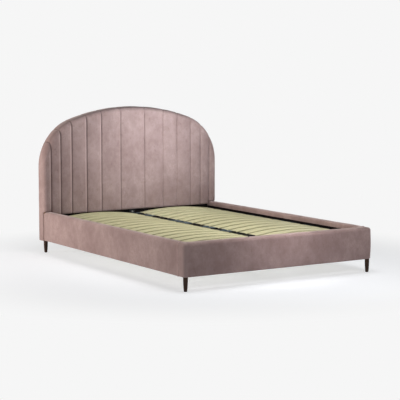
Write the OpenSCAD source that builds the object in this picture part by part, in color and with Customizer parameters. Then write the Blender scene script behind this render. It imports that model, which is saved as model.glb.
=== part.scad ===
// Upholstered bed frame with an arched, fluted headboard and a sprung slat base.
// Millimetres. +X is to the right seen from the foot, +Y points to the headboard, +Z is up.
// The origin is on the floor, at the middle of the bed's box.

/* [Mattress] */
// Width of the mattress that lies in the frame
mattress_w = 1500; // [1350:10:1600]
// Length of the mattress
mattress_l = 2000; // [1900:10:2100]
// Free space on each side of the mattress
side_play = 5; // [2:1:20]
// Free space beyond the end of the mattress, for tucking in the bedding
end_play = 58; // [20:2:80]

/* [Rails] */
// Height of the rails from their underside to their top
rail_h = 234; // [210:2:280]
// Thickness of a side rail with its padding
side_rail_t = 65; // [58:1:90]
// Depth of the foot rail with its padding
foot_rail_t = 88; // [76:1:110]
// Padding on the outer faces of the rails
outer_pad = 12; // [8:1:15]
// Padding on top of the rails
top_pad = 15; // [10:1:25]
// Padding on the inner faces of the rails
inner_pad = 5; // [3:0.5:8]
// Cover under the rails
under_pad = 3; // [2:0.5:5]
// Radius of the outer top edges of the rails
top_outer_r = 22; // [12:1:24]
// Radius of the inner top edges of the rails
top_inner_r = 12; // [6:1:16]
// Radius of the outer bottom edges of the rails
bottom_outer_r = 10; // [4:1:12]
// Radius of the upright corners at the foot
corner_r = 30; // [26:1:34]
// Radius of the upright corners of the foot rail's board
board_corner_r = 10; // [8:1:16]

/* [Headboard] */
// Height of the headboard above the floor
headboard_h = 1174; // [1000:2:1350]
// Height above the floor at which the arch springs from its straight sides
spring_h = 693; // [560:1:760]
// Radius of the arch at its shoulders, as far as the height above the straight sides leaves room
shoulder_r = 410; // [340:2:430]
// Thickness of the velvet border round the arch
border_t = 7; // [4:0.5:10]
// Depth of the headboard behind its padding
box_t = 85; // [70:1:110]
// Thickness of the padding at the crest of a flute
pad_t = 29; // [20:1:45]
// Depth of the seams between the flutes
flute_depth = 12; // [4:1:16]
// Width over which the padding rolls back at the edge of the arch
edge_roll = 32; // [20:1:50]
// Width over which the padding rolls back at its lower hem
hem_roll = 12; // [6:1:20]
// How far the lower hem of the padding lies below the top of the rails
hem_drop = 23; // [10:1:35]
// Relative widths of the flutes, from the middle one outwards
flute_parts = [226, 181, 137, 137, 101, 88, 69]; // [40:1:260]
// Thickness of the plywood face panel
face_panel_t = 12; // [9:1:18]
// Thickness of the back panel
back_panel_t = 4; // [3:0.5:6]
// Width of the velvet that folds onto the back
back_fold_w = 40; // [25:1:60]
// Thickness of the velvet that folds onto the back
back_fold_t = 2; // [1:0.5:3]
// Width of the timber rib that follows the arch
rib_w = 45; // [35:1:60]
// Width of the upright timber studs
stud_w = 45; // [30:1:60]
// Number of upright studs between the sides
stud_n = 6; // [6:1:8]
// Height of the timber rail at the bottom of the headboard
sill_h = 210; // [206:1:240]
// Thickness of the black lining between the rails
lining_t = 2; // [1:0.5:3]

/* [Slats] */
// Number of slats in each bank
slat_n = 16; // [12:1:16]
// Width of a slat
slat_w = 96; // [53:1:110]
// Thickness of a slat
slat_t = 8; // [7:0.5:9]
// Rise of a slat's bow
slat_rise = 32; // [15:1:34]
// Clear space between the last slats and the end rails
slat_end_gap = 54; // [45:1:90]
// Depth of the top of the ledges below the top of the rails
ledge_drop = 66; // [64:1:72]
// Width of a ledge
ledge_w = 28; // [22:1:40]
// Height of a ledge
ledge_h = 45; // [30:1:50]
// Free space at each end of a ledge and of the centre rail
ledge_play = 1; // [0.5:0.5:3]

/* [Slat holders] */
// Wall of the holders round a slat's end
holder_wall = 3; // [2:0.5:4]
// How far a holder reaches over its slat
holder_reach = 30; // [24:1:40]
// Clearance between a slat and its holder
holder_fit = 0.3; // [0.2:0.05:0.5]
// Thickness of the wall between the two slats in a centre holder
divider_t = 6; // [4:0.5:10]
// Diameter of the peg under a holder
peg_d = 10; // [8:0.5:12]
// Length of the peg under a holder
peg_l = 14; // [8:1:18]
// Clearance round a peg
peg_fit = 0.1; // [0.05:0.05:0.2]

/* [Centre support] */
// Width and height of the square centre rail
centre_rail_w = 40; // [35:1:45]
// Wall of the centre rail
centre_rail_wall = 2; // [1.5:0.5:3]
// Distance between the two centre legs
centre_leg_span = 700; // [400:20:1000]
// Diameter of a centre leg
centre_leg_d = 28; // [25:1:35]
// Wall of a centre leg
centre_leg_wall = 1.5; // [1.5:0.5:2.5]
// Length of the saddle on a centre leg
leg_saddle_l = 60; // [40:2:80]
// Length of the threaded bush in a centre leg
bush_l = 30; // [25:1:40]
// Diameter of the levelling foot's thread
foot_thread_d = 10; // [8:1:12]
// Clearance round the levelling foot's thread
foot_thread_fit = 0.05; // [0.03:0.01:0.08]
// Diameter of the levelling foot's pad
foot_pad_d = 40; // [30:1:60]
// Height of the levelling foot's pad
foot_pad_h = 8; // [6:1:12]
// Height of the nut on the levelling foot
foot_nut_h = 5; // [4:0.5:7]
// Distance between the flats of the nut on the levelling foot
foot_nut_flats = 17; // [15:1:19]
// Gap between the nut and the leg when the foot is screwed in
foot_stop_gap = 0.3; // [0.2:0.1:0.5]
// How far the levelling foot screws out
foot_travel = 12; // [6:1:14]

/* [Legs] */
// Height of the legs
leg_h = 100; // [80:1:130]
// Diameter of a leg at its top
leg_top_d = 34; // [30:1:42]
// Diameter of a leg at the floor
leg_foot_d = 23; // [18:1:28]
// Swell of a leg's side beyond a straight taper
leg_swell = 1.4; // [0:0.1:2]
// Distance of a front leg's axis from the outer faces of the bed
leg_inset = 28; // [26:1:34]
// Distance of a rear leg's axis from the back of the headboard
rear_leg_inset = 55; // [40:1:60]
// Chamfer at a leg's foot
leg_chamfer = 1.5; // [0.5:0.5:3]

/* [Brackets and bolts] */
// Thickness of the steel brackets
bracket_t = 3; // [2:0.5:4]
// Length of a corner bracket's arms
bracket_arm = 42; // [36:1:60]
// Height of the corner brackets
bracket_h = 75; // [60:1:85]
// Height of a corner bracket's lower edge above the underside of the rails
bracket_lift = 30; // [15:1:35]
// Distance between the bolts of a bracket's arm
bolt_pitch = 39; // [25:1:42]
// Diameter of the bolts
bolt_d = 8; // [6:1:9]
// Length of a bolt below its head
bolt_l = 40; // [30:1:40]
// Distance between the flats of a bolt's head
bolt_flats = 13; // [10:1:15]
// Height of a bolt's head
bolt_head_h = 5.5; // [4:0.5:7]
// Clearance round a bolt
bolt_fit = 0.2; // [0.1:0.05:0.3]
// Length of the saddle in a centre bracket
bracket_saddle_l = 45; // [30:1:50]
// Height of the ears on the saddles
saddle_ear_h = 22; // [12:1:30]
// Width of a centre bracket's plate
bracket_plate_w = 50; // [50:1:70]
// Distance of a centre bracket's bolts above and below the centre rail
centre_bolt_gap = 24; // [20:1:26]
// Plate beyond the bolts of a centre bracket
bracket_edge = 12; // [10:1:16]
// Depth of a hanger bolt in its leg
hanger_in_leg = 26; // [20:1:40]
// Depth of a hanger bolt above its leg
hanger_above = 40; // [30:1:60]

/* [Hidden] */
$fn = 64;
// Facets of the slats' great arc, whose radius is over two metres
slat_arc_fn = 1440;
// Room at the end of a blind hole
drill_end = 1;
// How far a cutting shape reaches past what it cuts
cut = 1;
// Depth of the small flat between the arcs of the headboard, and the length of the line that cuts it
join_flat = 0.05;
join_reach = 100;
// Share of the height above the straight sides that the shoulder arcs may take
shoulder_share = 0.9;
// Corner of a cover that only turns over a board's edge
cover_edge_r = 2;
// Corners of the centre rail's square tube
centre_rail_r = 4;
// Bend of a corner bracket
bracket_bend_r = 2;
// Edges of a levelling foot's pad, at the floor and above
pad_floor_r = 1;
pad_top_r = 3;
// Chamfer at the top of a leg
leg_top_chamfer = 1;
// Steps of the curve down a leg's side
leg_steps = 8;
// Lift of a slat's middle line at its ends, where the bow tilts the slat
slat_end_lift = 1;
// Distance of a bolt from the end of a corner bracket's arm
arm_bolt_end = 18;
// Thread left above the bush when a levelling foot is screwed out
thread_spare = 2;
// Width over which the padding's hem steps up over a rail
notch_step = 4;
// Gap that keeps two pieces of cloth apart
cloth_gap = 0.3;

// Overall box
inner_half = mattress_w / 2 + side_play;
bed_half = inner_half + side_rail_t;
hb_half = bed_half + border_t;
bed_l = foot_rail_t + mattress_l + end_play + pad_t + box_t;
foot_y = -bed_l / 2;
back_y = bed_l / 2;

// Planes along the bed
foot_inner_y = foot_y + foot_rail_t;
face_y = back_y - box_t;
lining_y = face_y - lining_t;
panel_back_y = face_y + face_panel_t;
back_panel_y = back_y - back_fold_t;
frame_back_y = back_panel_y - back_panel_t;

// Heights
rail_top = leg_h + rail_h;
board_bottom = leg_h + under_pad;
board_top = rail_top - top_pad;
ledge_top = rail_top - ledge_drop;
hem_z = rail_top - hem_drop;
sill_top = leg_h + sill_h;
centre_rail_z = ledge_top - centre_rail_w;

// Arch of the headboard: a shoulder arc on each side meets one crown arc
shoulder_arc_r = min(shoulder_r, shoulder_share * (headboard_h - spring_h));
shoulder_x = hb_half - shoulder_arc_r;
// Rise of the crown arc above the tops of the shoulder arcs
crown_rise = headboard_h - spring_h - shoulder_arc_r;
crown_r = shoulder_arc_r + (shoulder_x * shoulder_x + crown_rise * crown_rise) / (2 * crown_rise);
crown_z = headboard_h - crown_r;
// Unit vector from the centre of the crown arc through the centre of a shoulder arc
join_x = shoulder_x / (crown_r - shoulder_arc_r);
join_z = (spring_h - crown_z) / (crown_r - shoulder_arc_r);

// Slats: each is an arc between its side holder and the centre holder
slat_outer_x = inner_half - ledge_play - holder_wall - holder_fit;
slat_inner_x = divider_t / 2 + holder_fit;
slat_mid_x = (slat_outer_x + slat_inner_x) / 2;
slat_half = (slat_outer_x - slat_inner_x) / 2;
slat_arc_r = (slat_half * slat_half + slat_rise * slat_rise) / (2 * slat_rise);
// Height of the middle of a slat's thickness at its ends
slat_end_z = ledge_top + holder_wall + holder_fit + slat_t / 2 + slat_end_lift;
slat_arc_z = slat_end_z + slat_rise - slat_arc_r;
slat_first_y = foot_inner_y + slat_end_gap + slat_w / 2;
slat_last_y = face_y - slat_end_gap - slat_w / 2;
slat_pitch = (slat_last_y - slat_first_y) / (slat_n - 1);
holder_w = slat_w + 2 * (holder_fit + holder_wall);

// Flutes: the seams to the right of the middle
function sum_to(list, k) = k < 0 ? 0 : list[k] + sum_to(list, k - 1);
flute_last = len(flute_parts) - 1;
flute_total = sum_to(flute_parts, flute_last) - flute_parts[0] / 2;
function seam_x(k) = k < 0 ? 0 : hb_half * (sum_to(flute_parts, k) - flute_parts[0] / 2) / flute_total;

// Centre legs and levelling feet
foot_nut_z = foot_pad_h + foot_nut_h;
centre_leg_z = foot_nut_z + foot_stop_gap;
saddle_z = centre_rail_z - bracket_t;
thread_top = centre_leg_z + bush_l + foot_travel + thread_spare;

// Brackets
corner_bracket_z = leg_h + bracket_lift;
arm_bolt = bracket_arm - arm_bolt_end;
centre_plate_bottom = centre_rail_z - centre_bolt_gap - bracket_edge;
centre_plate_top = min(ledge_top + centre_bolt_gap + bracket_edge, hem_z - cloth_gap);

function two_digits(i) = i < 10 ? str("0", i) : str(i);
function slat_name(side, i) = str(side, "_slat_", two_digits(i + 1));

// Shared shapes

// A rectangle from its lower left corner, with its own radius at each corner
module rounded_rect(w, h, r_bottom_left, r_bottom_right, r_top_right, r_top_left) {
    corners = [[0, 0, r_bottom_left], [w, 0, r_bottom_right], [w, h, r_top_right], [0, h, r_top_left]];
    difference() {
        square([w, h]);
        for (i = [0 : 3]) {
            if (corners[i][2] > 0)
                translate([corners[i][0], corners[i][1]]) rotate(90 * i)
                    difference() {
                        translate([-cut, -cut]) square(corners[i][2] + cut);
                        translate([corners[i][2], corners[i][2]]) circle(corners[i][2]);
                    }
        }
    }
}

// Stands a flat outline, drawn as X and Z, upright between two planes along the bed
module upright_slab(y_front, y_back) {
    translate([0, y_back, 0]) rotate([90, 0, 0]) linear_extrude(y_back - y_front) children();
}

// Outline of the arched headboard, drawn in by an inset. A small flat bridges the join of the arcs,
// where two circles that only touch would leave a sliver, and both arcs' shapes reach past the join.
module arch_outline(inset = 0, bottom = leg_h) {
    half = hb_half - inset;
    top = headboard_h + cut;
    flat_r = shoulder_arc_r - inset - join_flat;
    join = [shoulder_x + flat_r * join_x, spring_h + flat_r * join_z];
    down = join + 2 * shoulder_arc_r * [join_z, -join_x];
    up = join - join_reach * [join_z, -join_x];
    translate([-half, bottom]) square([2 * half, spring_h - bottom]);
    for (side = [0, 1])
        mirror([side, 0]) intersection() {
            translate([shoulder_x, spring_h]) circle(shoulder_arc_r - inset);
            polygon([[shoulder_x, spring_h], [shoulder_x + 2 * shoulder_arc_r, spring_h], down, join, up]);
        }
    intersection() {
        translate([0, crown_z]) circle(crown_r - inset, $fn = 360);
        polygon([[-shoulder_x, spring_h], [shoulder_x, spring_h], join, up, [up.x, top], [-up.x, top],
                 [-up.x, up.y], [-join.x, join.y]]);
    }
}

// A bolt hole along +Z from the origin
module bolt_hole(depth) {
    translate([0, 0, -drill_end]) cylinder(h = depth + drill_end, d = bolt_d + 2 * bolt_fit);
}

// Height of a corner bracket's lower bolt for k = -1, and of its upper bolt for k = 1
function bracket_bolt_z(k) = corner_bracket_z + bracket_h / 2 + k * bolt_pitch / 2;

// Sends its children to each bolt of the brackets, with +Z along the bolt and the head at the origin
module at_rail_bolts(side) {
    for (y = [foot_inner_y + bracket_t + arm_bolt, lining_y - bracket_t - arm_bolt])
        for (k = [-1, 1])
            translate([side * (inner_half - bracket_t), y, bracket_bolt_z(k)])
                rotate([0, side * 90, 0]) children();
}

module at_head_bolts() {
    for (side = [-1, 1])
        for (k = [-1, 1])
            translate([side * (inner_half - bracket_t - arm_bolt), lining_y - bracket_t, bracket_bolt_z(k)])
                rotate([-90, 0, 0]) children();
    for (z = [centre_rail_z - centre_bolt_gap, ledge_top + centre_bolt_gap])
        translate([0, lining_y - bracket_t, z]) rotate([-90, 0, 0]) children();
}

module at_foot_bolts() {
    for (side = [-1, 1])
        for (k = [-1, 1])
            translate([side * (inner_half - bracket_t - arm_bolt), foot_inner_y + bracket_t,
                       bracket_bolt_z(k)])
                rotate([90, 0, 0]) children();
    for (z = [centre_rail_z - centre_bolt_gap, ledge_top + centre_bolt_gap])
        translate([0, foot_inner_y + bracket_t, z]) rotate([90, 0, 0]) children();
}

// Sends its children to the top of each leg
module at_front_legs() {
    for (side = [-1, 1])
        translate([side * (bed_half - leg_inset), foot_y + leg_inset, leg_h]) children();
}

module at_rear_legs() {
    for (side = [-1, 1])
        translate([side * (bed_half - leg_inset), back_y - rear_leg_inset, leg_h]) children();
}

// Headboard

// Distance of a point of the headboard's face from the edge of the arch
function edge_distance(x, z) =
    let (px = abs(x))
    z <= spring_h ? hb_half - px
    : px * join_z > (z - crown_z) * join_x
        ? shoulder_arc_r - norm([px - shoulder_x, z - spring_h])
        : crown_r - norm([px, z - crown_z]);

// Height of the arch over a place across the bed
function arch_top(x) =
    let (px = abs(x))
    px <= crown_r * join_x
        ? crown_z + sqrt(crown_r * crown_r - px * px)
        : spring_h + sqrt(max(0, shoulder_arc_r * shoulder_arc_r - pow(px - shoulder_x, 2)));

// Steepness of the arch's edge: 1 where it lies level, 0 where it stands upright
function edge_level(x) =
    let (px = abs(x))
    px <= crown_r * join_x
        ? (arch_top(x) - crown_z) / crown_r
        : (arch_top(x) - spring_h) / shoulder_arc_r;

// Roundness of an edge that rolls from 0 at its rim to 1 at its full width
function roll(distance, width) = let (t = min(1, max(0, distance / width))) sqrt(1 - (1 - t) * (1 - t));

// Swell of the padding across its flutes: 0 in a seam, 1 on a crest
function flute_index(px, k = 0) = k >= flute_last || px <= seam_x(k) ? k : flute_index(px, k + 1);
function flute_swell(x) =
    let (px = abs(x), k = flute_index(px))
    let (from = k == 0 ? -seam_x(0) : seam_x(k - 1))
    let (u = 2 * (px - from) / (seam_x(k) - from) - 1)
    k == flute_last && u > 0 ? 1 : 1 - pow(u, 4);

// Columns of the padding: the flutes' own, then the two beside each rail's notch
notch_in_x = inner_half - cloth_gap - notch_step;
notch_out_x = inner_half - cloth_gap;
flute_steps = [0, 0.08, 0.25, 0.5, 0.75, 0.92];
edge_steps = [0, 0.15, 0.35, 0.55, 0.72, 0.84, 0.93, 0.98, 1];
half_columns = [
    for (t = [0.25, 0.5, 0.75, 0.92]) t * seam_x(0),
    for (k = [1 : flute_last - 1]) for (t = flute_steps) seam_x(k - 1) + t * (seam_x(k) - seam_x(k - 1)),
    for (t = edge_steps) seam_x(flute_last - 1) + t * (hb_half - seam_x(flute_last - 1))];
function sorted(list) = len(list) < 2 ? list
    : let (pivot = list[0])
      concat(sorted([for (v = list) if (v < pivot) v]), [pivot], sorted([for (v = list) if (v > pivot) v]));
right_columns = sorted(concat(
    [for (x = half_columns) if (abs(x - notch_in_x) > 1 && abs(x - notch_out_x) > 1) x],
    [notch_in_x, notch_out_x]));
pad_columns = concat([for (i = [len(right_columns) - 1 : -1 : 0]) -right_columns[i]], [0], right_columns);
function pad_bottom(x) = abs(x) <= notch_in_x ? hem_z : rail_top + cloth_gap;

// Rows of one column, from the hem to the edge of the arch
function pad_rows(x) =
    let (low = pad_bottom(x), top = arch_top(x))
    let (rolled = min(edge_roll / max(edge_level(x), 0.2), 0.4 * (top - low)))
    let (high = top - rolled, start = low + hem_roll)
    [low, low + 0.3 * hem_roll, start, start + (high - start) / 3, start + 2 * (high - start) / 3,
     high, top - 0.6 * rolled, top - 0.3 * rolled, top - 0.1 * rolled, top];

function pad_depth(x, z, low) =
    pad_t * roll(edge_distance(x, z), edge_roll) * roll(z - low, hem_roll)
    * (1 - flute_depth / pad_t * (1 - flute_swell(x)));

module headboard_fluted_pad() {
    last = len(pad_columns) - 1;
    top = len(pad_rows(0)) - 1;
    rim = function(c, r) c == 0 || c == last || r == 0 || r == top;
    points = [for (c = [0 : last]) let (x = pad_columns[c], zs = pad_rows(x))
        for (r = [0 : top]) [x, face_y - (rim(c, r) ? 0 : pad_depth(x, zs[r], zs[0])), zs[r]]];
    at = function(c, r) c * (top + 1) + r;
    // The diagonals of the front run towards its corners, so that no triangle lies flat at a corner
    front = [for (c = [0 : last - 1]) for (r = [0 : top - 1])
        let (a = at(c, r), b = at(c, r + 1), d = at(c + 1, r + 1), e = at(c + 1, r))
        for (f = (c < last / 2) == (r < top / 2) ? [[a, b, d], [a, d, e]] : [[a, b, e], [b, d, e]]) f];
    back = [for (c = [1 : last - 2])
        for (f = [[at(c, 0), at(c + 1, 0), at(c + 1, top)], [at(c, 0), at(c + 1, top), at(c, top)]]) f];
    back_left = [for (r = [0 : top - 1]) [at(1, 0), at(0, r + 1), at(0, r)]];
    back_right = [for (r = [0 : top - 1]) [at(last - 1, 0), at(last, r), at(last, r + 1)]];
    back_corners = [[at(1, 0), at(1, top), at(0, top)], [at(last - 1, 0), at(last, top), at(last - 1, top)]];
    color("#b39891")
        polyhedron(points, concat(front, back, back_left, back_right, back_corners), convexity = 6);
}

module headboard_border() {
    color("#a88c85") {
        upright_slab(face_y, back_panel_y) difference() {
            arch_outline();
            arch_outline(border_t, leg_h - cut);
        }
        upright_slab(back_panel_y, back_y) difference() {
            arch_outline();
            arch_outline(back_fold_w, leg_h - cut);
        }
    }
}

module headboard_face_panel() {
    color("#c9a877") difference() {
        upright_slab(face_y, panel_back_y) arch_outline(border_t);
        at_head_bolts() bolt_hole(bolt_l);
    }
}

module headboard_timber_frame() {
    bay_half = hb_half - border_t - rib_w;
    bay_pitch = (2 * bay_half + stud_w) / (stud_n + 1);
    color("#d3b98c") difference() {
        upright_slab(panel_back_y, frame_back_y) difference() {
            arch_outline(border_t);
            intersection() {
                arch_outline(border_t + rib_w, sill_top);
                for (i = [0 : stud_n])
                    translate([-bay_half + i * bay_pitch, sill_top])
                        square([bay_pitch - stud_w, headboard_h - sill_top]);
            }
        }
        at_head_bolts() bolt_hole(bolt_l + drill_end);
        at_rear_legs() bolt_hole(hanger_above + drill_end);
    }
}

module headboard_back_panel() {
    color("#2e2b2c") upright_slab(frame_back_y, back_panel_y) arch_outline(border_t);
}

module headboard_lower_lining() {
    half = inner_half - cloth_gap;
    color("#1f1b1c") difference() {
        translate([-half, lining_y, leg_h]) cube([2 * half, lining_t, hem_z - cloth_gap - leg_h]);
        at_head_bolts() bolt_hole(bolt_l);
    }
}

// Rails

module side_rail_cover(side) {
    color("#a5867f") difference() {
        upright_slab(foot_inner_y, face_y) mirror([side < 0 ? 1 : 0, 0]) translate([inner_half, leg_h])
            difference() {
                rounded_rect(side_rail_t, rail_h, cover_edge_r, bottom_outer_r, top_outer_r, top_inner_r);
                translate([inner_pad, under_pad])
                    square([side_rail_t - inner_pad - outer_pad, board_top - board_bottom]);
            }
        at_rail_bolts(side) bolt_hole(bolt_l);
    }
}

module side_rail_board(side) {
    color("#cdb083") difference() {
        upright_slab(foot_inner_y, face_y) mirror([side < 0 ? 1 : 0, 0])
            translate([inner_half + inner_pad, board_bottom])
                square([side_rail_t - inner_pad - outer_pad, board_top - board_bottom]);
        at_rail_bolts(side) bolt_hole(bolt_l + drill_end);
    }
}

module left_rail_cover() { side_rail_cover(-1); }
module right_rail_cover() { side_rail_cover(1); }
module left_rail_board() { side_rail_board(-1); }
module right_rail_board() { side_rail_board(1); }

// The foot rail's board, uncut
module foot_board_block() {
    half = bed_half - outer_pad;
    translate([-half, foot_y + outer_pad, board_bottom]) linear_extrude(board_top - board_bottom)
        rounded_rect(2 * half, foot_rail_t - outer_pad - inner_pad, board_corner_r, board_corner_r, 0, 0);
}

// A stretch of the foot rail along X, with its rear top edge rounded or square
module foot_run(x_from, x_to, rear_r) {
    translate([x_from, foot_y, leg_h]) rotate([90, 0, 90]) linear_extrude(x_to - x_from)
        rounded_rect(foot_rail_t, rail_h, bottom_outer_r, cover_edge_r, rear_r, top_outer_r);
}

module foot_rail_cover() {
    run_half = bed_half - corner_r;
    color("#8f756f") difference() {
        union() {
            foot_run(-inner_half, inner_half, top_inner_r);
            foot_run(-run_half, -inner_half, 0);
            foot_run(inner_half, run_half, 0);
            for (side = [-1, 1]) mirror([side < 0 ? 1 : 0, 0, 0]) {
                translate([run_half, foot_y + corner_r, leg_h]) rotate([0, 0, -90])
                    rotate_extrude(angle = 90)
                        rounded_rect(corner_r, rail_h, 0, bottom_outer_r, top_outer_r, 0);
                translate([run_half, foot_inner_y, leg_h]) rotate([90, 0, 0])
                    linear_extrude(foot_rail_t - corner_r)
                        rounded_rect(corner_r, rail_h, 0, bottom_outer_r, top_outer_r, 0);
            }
        }
        foot_board_block();
        at_foot_bolts() bolt_hole(bolt_l);
        at_front_legs() bolt_hole(hanger_above);
    }
}

module foot_rail_board() {
    color("#cdb083") difference() {
        foot_board_block();
        at_foot_bolts() bolt_hole(bolt_l + drill_end);
        at_front_legs() bolt_hole(hanger_above + drill_end);
    }
}

// Slats, ledges and holders

// One bowed slat of the right bank about Y = 0, grown all round by a clearance
module slat_bar(grow = 0) {
    half = slat_half + grow;
    upright_slab(-slat_w / 2 - grow, slat_w / 2 + grow) translate([slat_mid_x, slat_arc_z])
        intersection() {
            difference() {
                circle(slat_arc_r + slat_t / 2 + grow, $fn = slat_arc_fn);
                circle(slat_arc_r - slat_t / 2 - grow, $fn = slat_arc_fn);
            }
            translate([-half, 0]) square([2 * half, 2 * slat_arc_r]);
        }
}

module slat(side, i) {
    color("#c8c09a") translate([0, slat_first_y + i * slat_pitch, 0])
        mirror([side < 0 ? 1 : 0, 0, 0]) slat_bar();
}

// Height of a holder's roof over a slat
function roof_z(x) = slat_arc_z + slat_t / 2 + holder_fit + holder_wall
    + sqrt(slat_arc_r * slat_arc_r - pow(x - slat_mid_x, 2));

module side_slat_holders() {
    outer = slat_outer_x + holder_fit + holder_wall;
    mouth = slat_outer_x - holder_reach;
    color("#1c1a1a")
        for (side = [-1, 1]) for (i = [0 : slat_n - 1])
            translate([0, slat_first_y + i * slat_pitch, 0]) mirror([side < 0 ? 1 : 0, 0, 0]) {
                difference() {
                    upright_slab(-holder_w / 2, holder_w / 2)
                        polygon([[mouth, ledge_top], [outer, ledge_top], [outer, roof_z(outer)],
                                 [mouth, roof_z(mouth)]]);
                    slat_bar(holder_fit);
                }
                translate([inner_half - ledge_w / 2, 0, ledge_top - peg_l])
                    cylinder(h = peg_l + cut, d = peg_d);
            }
}

module centre_slat_holders() {
    mouth = slat_inner_x + holder_reach;
    color("#1c1a1a")
        for (i = [0 : slat_n - 1])
            translate([0, slat_first_y + i * slat_pitch, 0]) {
                difference() {
                    upright_slab(-holder_w / 2, holder_w / 2)
                        polygon([[-mouth, ledge_top], [mouth, ledge_top], [mouth, roof_z(mouth)],
                                 [slat_inner_x, roof_z(slat_inner_x)], [-slat_inner_x, roof_z(slat_inner_x)],
                                 [-mouth, roof_z(mouth)]]);
                    slat_bar(holder_fit);
                    mirror([1, 0, 0]) slat_bar(holder_fit);
                }
                translate([0, 0, ledge_top - peg_l]) cylinder(h = peg_l + cut, d = peg_d);
            }
}

// Holes for the holders' pegs in a ledge or in the centre rail
module peg_holes(x) {
    for (i = [0 : slat_n - 1])
        translate([x, slat_first_y + i * slat_pitch, ledge_top - peg_l - drill_end])
            cylinder(h = peg_l + 2 * drill_end, d = peg_d + 2 * peg_fit);
}

module slat_ledges() {
    from_y = foot_inner_y + ledge_play;
    color("#d8c39a")
        for (side = [-1, 1]) difference() {
            translate([side > 0 ? inner_half - ledge_w : -inner_half, from_y, ledge_top - ledge_h])
                cube([ledge_w, lining_y - ledge_play - from_y, ledge_h]);
            peg_holes(side * (inner_half - ledge_w / 2));
        }
}

// Centre support

module centre_rail() {
    from_y = foot_inner_y + bracket_t + ledge_play;
    to_y = lining_y - bracket_t - ledge_play;
    color("#222123") difference() {
        upright_slab(from_y, to_y) translate([-centre_rail_w / 2, centre_rail_z]) difference() {
            rounded_rect(centre_rail_w, centre_rail_w, centre_rail_r, centre_rail_r, centre_rail_r,
                         centre_rail_r);
            translate([centre_rail_wall, centre_rail_wall])
                square(centre_rail_w - 2 * centre_rail_wall);
        }
        peg_holes(0);
    }
}

// A trough that the centre rail rests in, from the origin along +Y
module rail_saddle(length) {
    ear_x = centre_rail_w / 2;
    translate([-ear_x - bracket_t, 0, saddle_z]) cube([2 * (ear_x + bracket_t), length, bracket_t]);
    for (x = [-ear_x - bracket_t, ear_x])
        translate([x, 0, saddle_z]) cube([bracket_t, length, bracket_t + saddle_ear_h]);
}

module centre_rail_brackets() {
    color("#2a2a2c") {
        difference() {
            union() {
                translate([-bracket_plate_w / 2, lining_y - bracket_t, centre_plate_bottom])
                    cube([bracket_plate_w, bracket_t, centre_plate_top - centre_plate_bottom]);
                translate([0, lining_y - bracket_saddle_l, 0]) rail_saddle(bracket_saddle_l);
            }
            at_head_bolts() bolt_hole(bracket_t + drill_end);
        }
        difference() {
            union() {
                translate([-bracket_plate_w / 2, foot_inner_y, centre_plate_bottom])
                    cube([bracket_plate_w, bracket_t, centre_plate_top - centre_plate_bottom]);
                translate([0, foot_inner_y, 0]) rail_saddle(bracket_saddle_l);
            }
            at_foot_bolts() bolt_hole(bracket_t + drill_end);
        }
    }
}

module centre_leg(y) {
    color("#222123") translate([0, y, 0]) {
        difference() {
            translate([0, 0, centre_leg_z]) cylinder(h = saddle_z - centre_leg_z, d = centre_leg_d);
            translate([0, 0, centre_leg_z + bush_l])
                cylinder(h = saddle_z - centre_leg_z - bush_l, d = centre_leg_d - 2 * centre_leg_wall);
            translate([0, 0, centre_leg_z - cut])
                cylinder(h = bush_l + 2 * cut, d = foot_thread_d + 2 * foot_thread_fit);
        }
        translate([0, -leg_saddle_l / 2, 0]) rail_saddle(leg_saddle_l);
    }
}

module levelling_foot(y) {
    color("#191919") translate([0, y, 0]) {
        rotate_extrude() rounded_rect(foot_pad_d / 2, foot_pad_h, 0, pad_floor_r, pad_top_r, 0);
        translate([0, 0, foot_pad_h]) cylinder(h = foot_nut_h, d = foot_nut_flats / cos(30), $fn = 6);
        cylinder(h = thread_top, d = foot_thread_d);
    }
}

module head_centre_leg() { centre_leg(centre_leg_span / 2); }
module foot_centre_leg() { centre_leg(-centre_leg_span / 2); }
module head_levelling_foot() { levelling_foot(centre_leg_span / 2); }
module foot_levelling_foot() { levelling_foot(-centre_leg_span / 2); }

// Legs

module tapered_leg(x, y) {
    foot_r = leg_foot_d / 2;
    top_r = leg_top_d / 2;
    side_h = leg_h - leg_chamfer - leg_top_chamfer;
    color("#2b1c17") translate([x, y, 0]) difference() {
        rotate_extrude() polygon(concat(
            [[0, 0], [foot_r - leg_chamfer, 0]],
            [for (k = [0:leg_steps]) let (t = k / leg_steps)
                [foot_r + (top_r - foot_r) * t + 4 * leg_swell * t * (1 - t), leg_chamfer + side_h * t]],
            [[top_r - leg_top_chamfer, leg_h], [0, leg_h]]));
        translate([0, 0, leg_h - hanger_in_leg - drill_end]) bolt_hole(hanger_in_leg + 2 * drill_end);
    }
}

module front_left_leg() { tapered_leg(leg_inset - bed_half, foot_y + leg_inset); }
module front_right_leg() { tapered_leg(bed_half - leg_inset, foot_y + leg_inset); }
module rear_left_leg() { tapered_leg(leg_inset - bed_half, back_y - rear_leg_inset); }
module rear_right_leg() { tapered_leg(bed_half - leg_inset, back_y - rear_leg_inset); }

module hanger_bolt() {
    translate([0, 0, -hanger_in_leg]) cylinder(h = hanger_in_leg + hanger_above, d = bolt_d);
}

module leg_hanger_bolts() {
    color("#b9bbbd") {
        at_front_legs() hanger_bolt();
        at_rear_legs() hanger_bolt();
    }
}

// Brackets and bolts

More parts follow.
